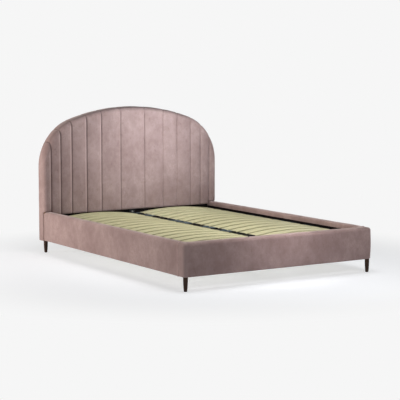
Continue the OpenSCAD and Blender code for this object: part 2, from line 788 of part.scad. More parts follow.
module corner_brackets() {
    color("#2a2a2c") difference() {
        for (side = [-1, 1]) mirror([side < 0 ? 1 : 0, 0, 0]) {
            translate([inner_half, foot_inner_y, corner_bracket_z]) rotate([0, 0, 90]) angle_bracket();
            translate([inner_half, lining_y, corner_bracket_z]) rotate([0, 0, 180]) angle_bracket();
        }
        at_rail_bolts(-1) bolt_hole(bracket_t + drill_end);
        at_rail_bolts(1) bolt_hole(bracket_t + drill_end);
        at_head_bolts() bolt_hole(bracket_t + drill_end);
        at_foot_bolts() bolt_hole(bracket_t + drill_end);
    }
}

// An angle with its outer corner at the origin and its arms along +X and +Y
module angle_bracket() {
    linear_extrude(bracket_h) difference() {
        rounded_rect(bracket_arm + bracket_t, bracket_arm + bracket_t, bracket_bend_r, 0, 0, 0);
        translate([bracket_t, bracket_t]) square(bracket_arm + cut);
    }
}

module hex_bolt() {
    translate([0, 0, -bolt_head_h]) cylinder(h = bolt_head_h, d = bolt_flats / cos(30), $fn = 6);
    cylinder(h = bolt_l, d = bolt_d);
}

module bracket_bolts() {
    color("#b9bbbd") {
        at_rail_bolts(-1) hex_bolt();
        at_rail_bolts(1) hex_bolt();
        at_head_bolts() hex_bolt();
        at_foot_bolts() hex_bolt();
    }
}

headboard_fluted_pad();
headboard_border();
headboard_face_panel();
headboard_timber_frame();
headboard_back_panel();
headboard_lower_lining();
left_rail_cover();
right_rail_cover();
foot_rail_cover();
left_rail_board();
right_rail_board();
foot_rail_board();
slat_ledges();
side_slat_holders();
centre_slat_holders();
centre_rail();
centre_rail_brackets();
head_centre_leg();
foot_centre_leg();
head_levelling_foot();
foot_levelling_foot();
front_left_leg();
front_right_leg();
rear_left_leg();
rear_right_leg();
leg_hanger_bolts();
corner_brackets();
bracket_bolts();
for (i = [0 : slat_n - 1]) {
    slat(-1, i);
    slat(1, i);
}
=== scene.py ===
"""Upholstered bed frame: an arched, fluted velvet headboard, padded rails and a sprung slat base.

Lengths are in metres. The floor is at z = 0, the foot rail at -y, and the middle of the bed at x = 0.
"""
import math

import bmesh
import bpy
from mathutils import Euler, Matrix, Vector, noise


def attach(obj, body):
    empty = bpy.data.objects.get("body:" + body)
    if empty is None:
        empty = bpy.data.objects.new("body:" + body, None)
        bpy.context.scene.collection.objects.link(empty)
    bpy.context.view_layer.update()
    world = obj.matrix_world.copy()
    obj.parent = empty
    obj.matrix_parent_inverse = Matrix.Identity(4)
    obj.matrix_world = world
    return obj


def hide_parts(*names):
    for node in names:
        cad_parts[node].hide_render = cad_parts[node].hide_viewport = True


bl_info = {
    "name": "Upholstered bed frame",
    "version": (1, 0, 0),
    "blender": (4, 5, 0),
    "location": "3D View > Sidebar > Bed",
    "description": "Dresses the solids of a bed frame in velvet, birch, plastic and steel",
    "category": "Object",
}

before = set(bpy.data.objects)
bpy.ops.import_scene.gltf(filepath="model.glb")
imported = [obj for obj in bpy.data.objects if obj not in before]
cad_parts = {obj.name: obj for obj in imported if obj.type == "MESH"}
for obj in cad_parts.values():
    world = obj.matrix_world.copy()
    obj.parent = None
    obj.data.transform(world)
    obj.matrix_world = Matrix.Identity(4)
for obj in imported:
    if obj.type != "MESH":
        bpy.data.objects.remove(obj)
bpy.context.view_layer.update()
BED = "bed"
SIDES = {-1: "left", 1: "right"}

# Headboard: its outline is two upright sides, two shoulders and a crown
HALF = 0.827
TOP = 1.174
SHOULDER_R = 0.410
CROWN_RISE = 0.071
SHOULDER_X = HALF - SHOULDER_R
SPRING = TOP - CROWN_RISE - SHOULDER_R
CROWN_R = SHOULDER_R + (SHOULDER_X ** 2 + CROWN_RISE ** 2) / (2 * CROWN_RISE)
CROWN_Z = TOP - CROWN_R
JOIN_X = SHOULDER_X / (CROWN_R - SHOULDER_R)
JOIN_Z = (SPRING - CROWN_Z) / (CROWN_R - SHOULDER_R)
FACE_Y = 1.045          # front of the plywood face, where the side rails end
BACK_Y = 1.130
FLUTES = (0.226, 0.181, 0.137, 0.137, 0.101, 0.088, 0.069)  # widths in step, from the middle one outwards
PAD_T = 0.029           # thickness of the pad on a flute's crest
EDGE_ROLL = 0.032       # width of the pad's roundness along the arch, and along its hem
HEM_ROLL = 0.012
HEM_Z = 0.311
LEAN = 0.024            # how far the outer flutes' tops lean along the arch
LEAN_DEPTH = 0.060      # how far below the arch the lean starts
RIM_DRAW = 0.0010       # how far the rim is drawn in all along
RIM_FULL = 0.0018       # how far the flutes stand out of it
BORDER_T = 0.007
BELLY = 0.0022          # fullness of a cover between two edges
LEG_ROLL = 0.0045       # roundness of the border's front edge beside the rails
FOLD_W = 0.040          # width of the velvet that is folded onto the back

# Rails: the outer and inner radii of their covers, and how the cloth lies
LEG_H = 0.100
RAIL_TOP = 0.334
INNER, OUTER = 0.755, 0.820
WIDE = OUTER - INNER
HEM_END = INNER - 0.004
FOOT_Y = -1.130
FOOT_IN_Y = -1.042
LEGS_X, LEGS_Y = 0.792, {"front": -1.102, "rear": 1.075}
BOARD_LOW, BOARD_HIGH = 0.103, 0.319
CORNER_R = 0.038
TOP_R, LOW_R = 0.022, 0.010
IN_TOP_R, IN_LOW_R = 0.012, 0.002
TOP_SPAN = RAIL_TOP - LEG_H - (TOP_R + LOW_R)
IN_SPAN = RAIL_TOP - LEG_H - (IN_TOP_R + IN_LOW_R)
MIDDLE = 0.0435                 # from an edge of the foot rail to the middle of its top
TUCK, HEAD_TUCK = 0.0032, 0.0012    # how far a cover is drawn in at the foot's seams and at the headboard
TUCK_W = 0.011                  # width of that draw
PAINTED_SEAM_LINE = 0.003               # width of the painted shade line at a seam between two rails
FINE_SLACK = 0.0005
RAIL_PAD, RAIL_BACKING = 0.012, 0.005   # padding outside a rail's board, and inside it
BOARD_GAP = 0.0002

# Black cloths
LINING_Y = 1.043
CLOTH_T, STRIP_T = 0.0008, 0.0006
CLOTH_IN = 0.022                # the dust cloth's edge and its staples, in from the rim of the headboard
STAPLE_IN = 0.030

# Slats and their holders
SLATS = 16
SLAT_W = 0.096
SLAT_T = 0.008
SLAT_EDGE, SLAT_END = 0.0022, 0.0008    # roundness of a slat's long edges, and of its ends
SLAT_IN, SLAT_OUT = 0.0033, 0.7507
SLAT_MID = (SLAT_IN + SLAT_OUT) / 2
SLAT_HALF = (SLAT_OUT - SLAT_IN) / 2
SLAT_RISE = 0.032
SLAT_R = (SLAT_HALF ** 2 + SLAT_RISE ** 2) / (2 * SLAT_RISE)
LEDGE_TOP = 0.268
SLAT_Z = LEDGE_TOP + 0.0083 + SLAT_RISE - SLAT_R    # centre of the bow
SLAT_Y = -0.940
SLAT_PITCH = 1.883 / (SLATS - 1)
WALL = 0.0030                   # wall of a holder, and the wall with its play round the slat
SHELL = 0.0033
GRIP = 0.030                    # how far a holder reaches over a slat
HOLDER_HALF = SLAT_W / 2 + SHELL
ROOF = SLAT_T / 2 + SHELL
HOLDER_UPPER = 0.280            # above this height lie only the corners of a holder's roof
SUNK_RIM = 0.005                # rim round the sunk panel in a holder's roof
PEG_L, PEG_R = 0.014, 0.0042
EDGE = 0.0008                   # broken edges of moulded pieces


# Shaping by operators

def bare():
    """Nothing stays selected."""
    bpy.ops.object.select_all(action="DESELECT")


def hold(piece):
    """Makes one piece the selected and active one."""
    bare()
    piece.select_set(True)
    bpy.context.view_layer.objects.active = piece


def settle(name):
    """Names the new primitive, and puts its place and size into its mesh."""
    piece = bpy.context.object
    piece.name = piece.data.name = name
    bpy.ops.object.transform_apply(location=True, rotation=True, scale=True)
    return piece


def block(name, low, high):
    """A box between two corners."""
    bare()
    bpy.ops.mesh.primitive_cube_add(size=1, location=[(a + b) / 2 for a, b in zip(low, high)],
                                    scale=[b - a for a, b in zip(low, high)])
    return settle(name)


def rod(name, foot, radius, height, top_radius=None, sides=48, turn=(0, 0, 0)):
    """A round bar that starts at a point, tapered where its top has its own radius."""
    bare()
    middle = Vector((0, 0, height / 2))
    middle.rotate(Euler(turn))
    bpy.ops.mesh.primitive_cone_add(vertices=sides, radius1=radius, depth=height, rotation=turn,
                                    radius2=radius if top_radius is None else top_radius,
                                    location=Vector(foot) + middle)
    return settle(name)


class Bench:
    """Holds a piece in edit mode, where parts of it are picked by their place or normal."""

    def __init__(self, piece):
        self.piece = piece

    def __enter__(self):
        hold(self.piece)
        bpy.ops.object.mode_set(mode="EDIT")
        return self

    def __exit__(self, *trouble):
        bpy.ops.object.mode_set(mode="OBJECT")

    def pick(self, kind, test):
        """Selects what passes a test: faces and corners by place and normal, edges by place and way."""
        bpy.ops.mesh.select_all(action="DESELECT")
        bpy.ops.mesh.select_mode(type=kind)
        mesh = bmesh.from_edit_mesh(self.piece.data)
        if kind == "FACE":
            found = [face for face in mesh.faces if test(face.calc_center_median(), face.normal)]
        elif kind == "EDGE":
            ends = [(edge, *(corner.co for corner in edge.verts)) for edge in mesh.edges]
            found = [edge for edge, a, b in ends if test((a + b) / 2, (b - a).normalized())]
        else:
            found = [corner for corner in mesh.verts if test(corner.co, corner.normal)]
        if not found:
            raise RuntimeError(f"nothing was picked on {self.piece.name}")
        for element in found:
            element.select_set(True)
        mesh.select_flush_mode()
        bmesh.update_edit_mesh(self.piece.data)

    def pick_all(self):
        """Selects the whole piece."""
        bpy.ops.mesh.select_all(action="SELECT")


def apply(piece, kind, **settings):
    """Adds one modifier and applies it."""
    hold(piece)
    modifier = piece.modifiers.new(kind.title(), kind)
    for key, value in settings.items():
        setattr(modifier, key, value)
    bpy.ops.object.modifier_apply(modifier=modifier.name)


def shade_smooth(piece, angle):
    """Shades a piece smooth, but for edges that are sharper than an angle in degrees."""
    hold(piece)
    bpy.ops.object.shade_smooth_by_angle(angle=math.radians(angle))


def soften(piece, width, steps=2, angle=35):
    """Breaks every sharp edge of a piece, and shades what is left smooth."""
    apply(piece, "BEVEL", width=width, segments=steps, limit_method="ANGLE",
          angle_limit=math.radians(angle), harden_normals=False)
    shade_smooth(piece, 40)


def copy_of(piece, name=None):
    """A copy with its own mesh, which stays selected."""
    hold(piece)
    bpy.ops.object.duplicate(linked=False)
    copy = bpy.context.object
    if name:
        copy.name = copy.data.name = name
    return copy


def weld(pieces, name):
    """Joins pieces of one material to one object."""
    bare()
    for piece in pieces:
        piece.select_set(True)
    bpy.context.view_layer.objects.active = pieces[0]
    bpy.ops.object.join()
    pieces[0].name = pieces[0].data.name = name
    return pieces[0]


def moved_copy(piece, move, name=None):
    """A copy of a piece a step away, with its place in its mesh."""
    copy = copy_of(piece, name)
    bpy.ops.transform.translate(value=move)
    bpy.ops.object.transform_apply(location=True, rotation=False, scale=False)
    return copy


def repeat(piece, moves, name):
    """Copies a finished piece by each move, and joins the copies to one piece."""
    made = [moved_copy(piece, move) for move in moves]
    bpy.data.objects.remove(piece)
    return weld(made, name)


def mirror_copy(piece, name):
    """The same piece on the other side of the bed's middle."""
    copy = copy_of(piece, name)
    copy.scale = (-1, 1, 1)
    bpy.ops.object.transform_apply(location=False, rotation=False, scale=True)
    turn_normals(copy)
    return copy


def turn_normals(piece, inside=False):
    """Makes all the faces of a closed piece point out of it, or into it."""
    with Bench(piece) as bench:
        bench.pick_all()
        bpy.ops.mesh.normals_make_consistent(inside=inside)


def sewn(name, points, faces, marks=None):
    """A soft piece from its own points and faces, with values that its material reads."""
    mesh = bpy.data.meshes.new(name)
    mesh.from_pydata(points, [], faces)
    for mark, values in (marks or {}).items():
        mesh.attributes.new(mark, "FLOAT", "POINT").data.foreach_set("value", values)
    mesh.update()
    piece = bpy.data.objects.new(name, mesh)
    bpy.context.scene.collection.objects.link(piece)
    turn_normals(piece)
    shade_smooth(piece, 60)
    return piece


def dress(piece, material, body=BED, stands_for=()):
    """Gives a finished piece its material, its body and the solids that it stands for."""
    piece.data.materials.clear()
    piece.data.materials.append(material)
    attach(piece, body)
    if stands_for:
        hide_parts(*stands_for)
    return piece


# Materials

class Wire:
    """A value in a material: an expression on wires adds the Math nodes for it."""

    def __init__(self, recipe, socket):
        self.recipe, self.socket = recipe, socket

    def _work(self, operation, first, second):
        """One Math node on two values."""
        return self.recipe.node("ShaderNodeMath", {"operation": operation}, {0: first, 1: second})

    def __add__(self, other):
        return self._work("ADD", self, other)

    def __radd__(self, other):
        return self._work("ADD", other, self)

    def __sub__(self, other):
        return self._work("SUBTRACT", self, other)

    def __rsub__(self, other):
        return self._work("SUBTRACT", other, self)

    def __mul__(self, other):
        return self._work("MULTIPLY", self, other)

    def __rmul__(self, other):
        return self._work("MULTIPLY", other, self)


class Recipe:
    """The nodes of one material, laid on a principled shader."""

    def __init__(self, name):
        self.material = bpy.data.materials.new(name)
        self.material.use_nodes = True
        self.tree = self.material.node_tree
        self.shader = self.tree.nodes["Principled BSDF"]
        self.place = self.node("ShaderNodeTexCoord", out="Object")

    def node(self, kind, settings=None, values=None, out=0):
        """Adds a node of a type, with its settings first and then its sockets' values or wires."""
        node = self.tree.nodes.new(kind)
        for key, value in (settings or {}).items():
            setattr(node, key, value)
        for key, value in (values or {}).items():
            if isinstance(value, Wire):
                self.tree.links.new(value.socket, node.inputs[key])
            else:
                node.inputs[key].default_value = value
        return Wire(self, node.outputs[out])

    def noise(self, scale, stretch=(1, 1, 1), detail=2.0, turn=(0, 0, 0), rough=0.5):
        """Cloudy noise, its scale in spots to a metre, drawn out along an axis with a stretch below 1."""
        at = self.node("ShaderNodeMapping", {}, {"Vector": self.place, "Scale": stretch, "Rotation": turn})
        return self.node("ShaderNodeTexNoise", {},
                         {"Vector": at, "Scale": scale, "Detail": detail, "Roughness": rough})

    def spread(self, wire, low, high, to_low=0.0, to_high=1.0):
        """Stretches a wire's range, and holds it inside its new one."""
        return self.node("ShaderNodeMapRange", {"interpolation_type": "SMOOTHSTEP"},
                         {"Value": wire, "From Min": low, "From Max": high,
                          "To Min": to_low, "To Max": to_high})

    def bands(self, way, scale, distortion, detail):
        """Soft stripes across one axis of the piece."""
        return self.node("ShaderNodeTexWave", {"wave_type": "BANDS", "bands_direction": way},
                         {"Vector": self.place, "Scale": scale, "Distortion": distortion, "Detail": detail})

    def blend(self, factor, first, second):
        """Mixes two colours."""
        return self.node("ShaderNodeMix", {"data_type": "RGBA"}, {0: factor, 6: first, 7: second}, out=2)

    def mark(self, name):
        """A value that the mesh of the piece carries at each of its points."""
        return self.node("ShaderNodeAttribute", {"attribute_name": name}, out="Fac")

    def relief(self, height, distance, strength=1.0, under=None):
        """A bump from a height, laid over another one where that is given."""
        values = {"Height": height, "Distance": distance, "Strength": strength}
        if under:
            values["Normal"] = under
        return self.node("ShaderNodeBump", {}, values)

    def set(self, **values):
        """Sets sockets of the shader: numbers straight on the socket, wires by a link."""
        for key, value in values.items():
            socket = self.shader.inputs[key.replace("_", " ")]
            if isinstance(value, Wire):
                self.tree.links.new(value.socket, socket)
            else:
                socket.default_value = value
        return self.material


def rgb(colour, factor=1.0):
    """A colour made darker or lighter, for a socket."""
    return (colour[0] * factor, colour[1] * factor, colour[2] * factor, 1.0)


def velvet(name, colours, painted_highlight_lift=1.0):
    """Short dense pile: broad strokes where it was brushed, small finger marks, painted shade in the seams
    and along the rims, and painted highlights where the mark is below zero.
    """
    r = Recipe(name)
    strokes = r.spread(r.noise(4.2, (1, 1, 0.8), 3, (0.2, 0.35, 0.1)), 0.36, 0.66)
    smudges = r.spread(r.noise(17, (1, 1, 0.75), 5, (0.5, 0.3, 0.2), 0.72), 0.34, 0.68)
    marks = r.spread(r.noise(48, (1, 1, 0.6), 3, (0.1, 0.6, 0.3)), 0.60, 0.72)
    vein = r.noise(17, (1, 1, 0.8), 4, (0.7, 0.2, 0.4), 0.65) - 0.5
    veins = (1 - r.spread(vein * vein, 0.0, 0.0008)) * strokes
    pile = r.noise(1100, (1, 1, 1), 2)
    tone = 0.32 * strokes + 0.32 * smudges + 0.26 * pile + 0.06
    tone = tone - marks * 0.20 + veins * 0.22
    # painted_highlight_lift lightens the whole cloth; the piping takes it as a painted highlight.
    colour = r.blend(tone, rgb(colours.velvet_dark, painted_highlight_lift), rgb(colours.velvet_light, painted_highlight_lift))
    # Painted shade: a positive seam mark darkens the cloth in the seams, on the arch's rim and at the joins
    # between rails.
    colour = r.blend(r.mark("seam") * 0.44, colour, rgb(colours.velvet_dark, 0.30))
    # Painted highlight: a negative seam mark lightens the cloth on seam lips, rounded corners and the rail
    # ends at the headboard.
    colour = r.blend(r.mark("seam") * -0.6, colour, rgb(colours.velvet_light, 1.2))
    creases = r.relief(r.noise(38, (1, 1, 0.6), 3), 0.0010, 0.4)
    nap = r.relief(pile, 0.0005, 0.55, creases)
    return r.set(Base_Color=colour, Roughness=0.84 - 0.14 * tone, Normal=nap, Sheen_Weight=0.38,
                 Sheen_Roughness=0.42, Sheen_Tint=(1.0, 0.90, 0.88, 1.0), Specular_IOR_Level=0.2)


def birch(name, colours):
    """Pressed birch layers and a thin varnish: pale grain along the slat, dark glue lines at its sides."""
    r = Recipe(name)
    grain = r.noise(60, (0.05, 1, 1), 5, rough=0.62)
    flecks = r.spread(r.noise(260, (0.035, 1, 1), 3), 0.56, 0.75)
    cloud = r.noise(3.0, (1, 1, 1), 2)
    layers = r.node("ShaderNodeMath", {"operation": "FRACT"}, {0: r.mark("ply") * 5.0})
    glue = r.spread(layers, 0.62, 0.95) * r.spread(r.mark("ply"), 0.0, 0.06) \
        * (1 - r.spread(r.mark("ply"), 0.9, 1.0))
    wood = r.blend(r.spread(grain, 0.3, 0.7), rgb(colours.slat_wood, 0.84), rgb(colours.slat_wood, 1.08))
    wood = r.blend(flecks * 0.25, wood, rgb(colours.slat_wood, 0.6))
    wood = r.blend(r.spread(cloud, 0.3, 0.7) * 0.25, wood, rgb(colours.slat_wood, 0.86))
    wood = r.blend(glue * 0.45, wood, rgb(colours.slat_wood, 0.40))
    return r.set(Base_Color=wood, Roughness=r.spread(grain, 0.3, 0.7, 0.52, 0.64),
                 Normal=r.relief(grain, 0.0003, 0.35), Specular_IOR_Level=0.22)


def dark_wood(name, colours):
    """Turned wood with a dark stain under a satin lacquer."""
    r = Recipe(name)
    grain = r.noise(90, (1, 1, 0.08), 5, rough=0.6)
    rings = r.bands("X", 70.0, 3.0, 2.0)
    tone = r.spread(grain, 0.3, 0.7) * 0.7 + rings * 0.3
    wood = r.blend(tone, rgb(colours.leg_wood, 0.5), rgb(colours.leg_wood, 1.7))
    return r.set(Base_Color=wood, Roughness=r.spread(grain, 0.3, 0.7, 0.46, 0.58),
                 Normal=r.relief(grain, 0.0003, 0.3), Specular_IOR_Level=0.22)


def raw_board(name, colour, along="Z", layered=True):
    """Raw board: long grain along one axis on its faces, and thin layers at its cut edges."""
    r = Recipe(name)
    stretch = {"Y": (1, 0.06, 1), "Z": (1, 1, 0.06)}[along]
    grain = r.noise(45, stretch, 5, rough=0.65)
    wood = r.blend(r.spread(grain, 0.28, 0.72), rgb(colour, 0.78), rgb(colour, 1.12))
    if layered:
        layers = r.bands("Y", 120.0, 0.4, 1.0)
        wood = r.blend(r.spread(layers, 0.7, 1.0) * 0.3, wood, rgb(colour, 0.5))
    return r.set(Base_Color=wood, Roughness=0.72 + 0.1 * grain, Normal=r.relief(grain, 0.0004, 0.5))


def moulded_plastic(name, colours):
    """Black moulded plastic with a faint grain, a soft gloss and blue-grey patches of painted reflection.
    """
    r = Recipe(name)
    grain = r.noise(700, detail=2)
    wear = r.spread(r.noise(30, detail=3), 0.45, 0.75)
    painted_reflection = r.spread(r.noise(5.0, (0.3, 1, 0.3), 1, (0.2, 0.05, 0.1)), 0.54, 0.575)
    colour = r.blend(wear * 0.5, rgb(colours.plastic, 0.6), rgb(colours.plastic, 1.6))
    # Blue-grey patches: painted reflection on the holders' tops.
    colour = r.blend(painted_reflection, colour, rgb((0.085, 0.115, 0.130)))
    return r.set(Base_Color=colour, Roughness=r.spread(wear, 0, 1, 0.40, 0.54),
                 Normal=r.relief(grain, 0.0002, 0.3), Specular_IOR_Level=0.03)


def powder_coat(name, colours):
    """Black powder coat with a fine orange peel."""
    r = Recipe(name)
    peel = r.noise(380, detail=2)
    dust = r.spread(r.noise(12, detail=4), 0.4, 0.8)
    colour = r.blend(dust * 0.6, rgb(colours.steel), rgb(colours.steel, 2.4))
    return r.set(Base_Color=colour, Roughness=0.42 + 0.15 * dust, Metallic=0.15,
                 Normal=r.relief(peel, 0.0003, 0.4))


def zinc(name, colours):
    """Bright zinc plating with fine draw lines and duller patches."""
    r = Recipe(name)
    lines = r.noise(600, (1, 1, 0.2), 2)
    dull = r.spread(r.noise(90, detail=3), 0.4, 0.7)
    colour = r.blend(dull, rgb(colours.zinc), rgb(colours.zinc, 0.72))
    return r.set(Base_Color=colour, Metallic=1.0, Roughness=0.24 + 0.2 * dull,
                 Normal=r.relief(lines, 0.0001, 0.4))


def lining(name, colours):
    """Thin black spun cloth, with crossing threads and small lint."""
    r = Recipe(name)
    weave = [r.bands(way, 260.0, 0.8, 1.0) for way in "XZ"]
    lint = r.spread(r.noise(240, detail=3), 0.62, 0.8)
    colour = r.blend(lint * 0.5, rgb(colours.lining), rgb(colours.lining, 3.0))
    return r.set(Base_Color=colour, Roughness=0.92 - 0.1 * lint, Specular_IOR_Level=0.12,
                 Normal=r.relief(weave[0] * 0.5 + weave[1] * 0.5, 0.0003, 0.5))


# Shared by the headboard, the rails and the cloths

def clamp(value):
    """Holds a value between 0 and 1."""
    return min(1.0, max(0.0, value))


def near_to(distance, width):
    """Closeness: 1 at no distance, and next to nothing at twice the width."""
    return math.exp(-(distance / width) ** 2)


def ripple(x, y, z):
    """Smooth unevenness between -1 and 1: a larger factor on a length gives more folds to a metre."""
    return noise.noise(Vector((x, y, z)))


def roll(distance, width):
    """Roundness of an edge, from 0 at its rim to 1 at its full width."""
    return math.sqrt(1 - (1 - clamp(distance / width)) ** 2)


def arc(middle, radius, start, sweep, steps):
    """Points of an arc with their outward directions, angles in degrees."""
    ways = [math.radians(start + sweep * k / steps) for k in range(steps + 1)]
    return [(middle[0] + radius * math.cos(a), middle[1] + radius * math.sin(a), math.cos(a), math.sin(a))
            for a in ways]


def sheet_faces(lines, steps):
    """Faces of a sheet whose points were laid line after line."""
    n = steps + 1
    return [(j * n + i, j * n + i + 1, (j + 1) * n + i + 1, (j + 1) * n + i)
            for j in range(lines) for i in range(steps)]


def skin_faces(rings, n):
    """Faces along a row of closed rings with n points each, and a cap at both ends."""
    skin = [(r * n + k, r * n + (k + 1) % n, (r + 1) * n + (k + 1) % n, (r + 1) * n + k)
            for r in range(rings - 1) for k in range(n)]
    return skin + [tuple(range(n)), tuple((rings - 1) * n + k for k in reversed(range(n)))]


# Headboard

def arch_top(x, inset=0.0):
    """Height of the arch over a place, drawn in by an inset."""
    px = abs(x)
    if px <= (CROWN_R - inset) * JOIN_X:
        return CROWN_Z + math.sqrt((CROWN_R - inset) ** 2 - px ** 2)
    return SPRING + math.sqrt(max(0.0, (SHOULDER_R - inset) ** 2 - (px - SHOULDER_X) ** 2))


def arc_at(x, z):
    """Centre and radius of the shoulder or the crown, whichever a point on the right half belongs to."""
    if abs(x) * JOIN_Z > (z - CROWN_Z) * JOIN_X:
        return SHOULDER_X, SPRING, SHOULDER_R
    return 0.0, CROWN_Z, CROWN_R


def edge_distance(x, z):
    """How far a point of the face lies from the rim."""
    if z <= SPRING:
        return HALF - abs(x)
    centre_x, centre_z, radius = arc_at(x, z)
    return radius - math.hypot(abs(x) - centre_x, z - centre_z)


def outward(x, z):
    """Direction across the rim of the arch, away from the headboard."""
    side = math.copysign(1, x)
    if z <= SPRING:
        return side, 0.0
    centre_x, centre_z, _ = arc_at(x, z)
    length = math.hypot(abs(x) - centre_x, z - centre_z)
    return side * (abs(x) - centre_x) / length, (z - centre_z) / length


def lean(x, z, d_edge):
    """Shift along the arch near its edge, where the tops of the outer flutes lean outwards."""
    along, up = outward(x, z)
    shift = LEAN * max(0.0, 1 - d_edge / LEAN_DEPTH) ** 2 * 2 * abs(along) * up
    sag = shift * shift / (2 * arc_at(x, z)[2])
    return math.copysign(up * shift, x) - along * sag, -abs(along) * shift - up * sag


def seam_places():
    """Seams of the flutes on the right half."""
    whole = sum(FLUTES) - FLUTES[0] / 2
    reach, places = FLUTES[0] / 2, []
    for width in FLUTES[1:]:
        places.append(HALF * reach / whole)
        reach += width
    return places


SEAMS = seam_places()
FLUTED_HALF = SEAMS[-1] + 0.05


def nearest_seam(x):
    """Number of the seam that is closest, and the distance past it."""
    number = min(range(len(SEAMS)), key=lambda k: abs(SEAMS[k] - abs(x)))
    return number, abs(x) - SEAMS[number]


def pinch(x, width):
    """Closeness to a seam: 1 on its stitches."""
    return near_to(nearest_seam(x)[1], width)


def swell(x):
    """Fullness across a flute: 0 in a seam, 1 along its crest."""
    px, squareness, last = abs(x), 2.1, 0.055
    if px >= SEAMS[-1]:
        return 1 - (1 - min(1.0, (px - SEAMS[-1]) / last)) ** squareness
    k = sum(1 for seam in SEAMS if seam <= px)
    low, high = (-SEAMS[0], SEAMS[0]) if k == 0 else (SEAMS[k - 1], SEAMS[k])
    return 1 - abs(2 * (px - low) / (high - low) - 1) ** squareness


def headboard_columns():
    """Places across the headboard: close together at the seams and round the shoulders."""
    tight, fine, plain, pitch = 0.0009, 0.0014, 0.005, 0.010
    wanted = [(x, 0.0) for x in (0.0, HEM_END, INNER, HALF)]
    for seam in SEAMS:
        wanted.append((seam, 0.0))
        for step in (0.0022, 0.0045, 0.007, 0.0105, 0.0155, 0.022):
            wanted += [(seam - step, fine), (seam + step, fine)]
    wanted += [(SHOULDER_X + SHOULDER_R * math.sin(math.radians(2.5 * k)), tight) for k in range(1, 37)]
    wanted += [(HALF - step, fine) for step in (0.004, 0.007, 0.011, 0.016, 0.022)]
    wanted += [(pitch * k, plain) for k in range(math.ceil(HALF / pitch))]
    kept = []
    for x, room in sorted(wanted, key=lambda pair: pair[1]):
        if x <= HALF and all(abs(x - other) >= max(room, 0.0005) for other in kept):
            kept.append(x)
    kept.sort()
    return [-x for x in kept[:0:-1]] + kept


def headboard_rows(x):
    """Places up one column: close together at the hem and where the top rolls back."""
    low = HEM_Z if abs(x) <= HEM_END + 1e-6 else RAIL_TOP + 0.0003
    top = arch_top(x)
    rolled = min(EDGE_ROLL / max(outward(x, top)[1], 0.2), 0.4 * (top - low))
    hem = [low + HEM_ROLL * t for t in (0, 0.05, 0.16, 0.34, 0.6, 1.0)]
    high, plain, turns = top - rolled, 66, 12
    body = [hem[-1] + (high - hem[-1]) * k / plain for k in range(1, plain + 1)]
    edge = [top - rolled * (1 - math.sin(math.pi / 2 * k / turns)) ** 1.15 for k in range(1, turns)]
    return hem + body + edge + [top]


def painted_seam_shade(x):
    """How strong the painted shade in a seam is: most on the left, none in the middle of the right half,
    and some again at its far end.
    """
    return min(1.5, max(0.0, 2.7 * (0.17 - x))) + 0.5 * clamp((x - 0.42) / 0.1)


def rim_shade(x, up, rim):
    """How dark the pile shows on the arch's rim, where it turns away from the light, most at the crown."""
    crown = clamp((x + 0.25) / 0.20) * clamp((0.62 - x) / 0.18)
    return up * ((0.8 + 0.9 * crown) * rim ** (1.3 - 0.4 * crown) + 0.6 * rim ** 6)


def lumps(x):
    """How much the flutes show on the rim of the arch, which is smoother on the right shoulder."""
    return 1 - 0.75 * clamp((x - 0.30) / 0.25)


def lip(x):
    """Light on the raised lip of a seam: on its left one, or on its right one at the far end."""
    gap = nearest_seam(x)[1]
    out, width, far_end, far_light = 0.011, 0.006, 0.42, 3
    if x > far_end:
        return far_light * near_to(gap - out, width)
    return near_to((gap if x < 0 else -gap) - out, width)


def rim_pull(x, seam, sizes):
    """How far the rim is drawn in: most at the seams, least at the crests of the flutes."""
    if abs(x) >= FLUTED_HALF:
        return 0.0
    return (sizes.edge_dip * seam - RIM_FULL * swell(x) + RIM_DRAW) * lumps(x)


def face_point(x, z, d_hem, sizes):
    """A point of the padded face, and the painted shade and highlight on it."""
    d_edge, half = edge_distance(x, z), math.copysign(1, x)
    near, gap = nearest_seam(x)
    seam = pinch(x, 0.0048)
    pucker = 0.0011 * ripple(near * 7.3 + 3 * half, z * 55, gap * 12) * math.exp(-abs(gap) / 0.014)
    rise = 0.0016 * ripple(x * 5, z * 3.2, 1.7)
    depth = roll(d_edge, EDGE_ROLL) * roll(d_hem, HEM_ROLL) \
        * (PAD_T - sizes.flute_depth * (1 - swell(x)) - sizes.seam_depth * seam + pucker + rise * swell(x))
    rim = max(0.0, 1 - d_edge / EDGE_ROLL)
    pull = rim_pull(x, seam, sizes) * rim ** 2
    wander = 0.0012 * ripple(near * 5.1, z * 6, 2 * half) * near_to(gap, 0.02) \
        * clamp(d_edge / 0.05) * min(1.0, d_hem / 0.03)
    along, up = outward(x, z)
    aside, down = lean(x, z, d_edge)
    # Painted shade along the arch's rim.
    turned = rim_shade(x, up, rim)
    # Painted shade in the seams, and a painted highlight on a seam's lip where the value drops below zero.
    shade = painted_seam_shade(x) * (pinch(x, 0.0042) - 0.5 * painted_seam_shade(x) * lip(x))
    return (x + aside - along * pull + wander, FACE_Y - max(depth, 0.0), z + down - up * pull), \
        max(turned, shade) if turned > 0 else shade


# Rings of the border: how far back, how far in, and how much of the seams' dip is left
BORDER_RINGS = (
    (0.006, 0.0, 0.95), (0.014, 0.0, 0.85), (0.024, 0.0, 0.7), (0.036, 0.0, 0.55), (0.048, 0.0, 0.42),
    (0.060, 0.0, 0.32), (0.070, 0.0, 0.26), (0.077, 0.0008, 0.22), (0.0815, 0.0025, 0.15),
    (0.0840, 0.0050, 0.08), (0.0850, 0.0085, 0.0), (0.0850, 0.020, 0.0), (0.0850, 0.034, 0.0),
    (0.0846, 0.0385, 0.0), (0.0838, FOLD_W, 0.0), (0.0831, FOLD_W, 0.0), (0.0831, 0.0245, 0.0),
    (0.0831, BORDER_T + 0.0002, 0.0), (0.0, BORDER_T + 0.0002, 0.0))


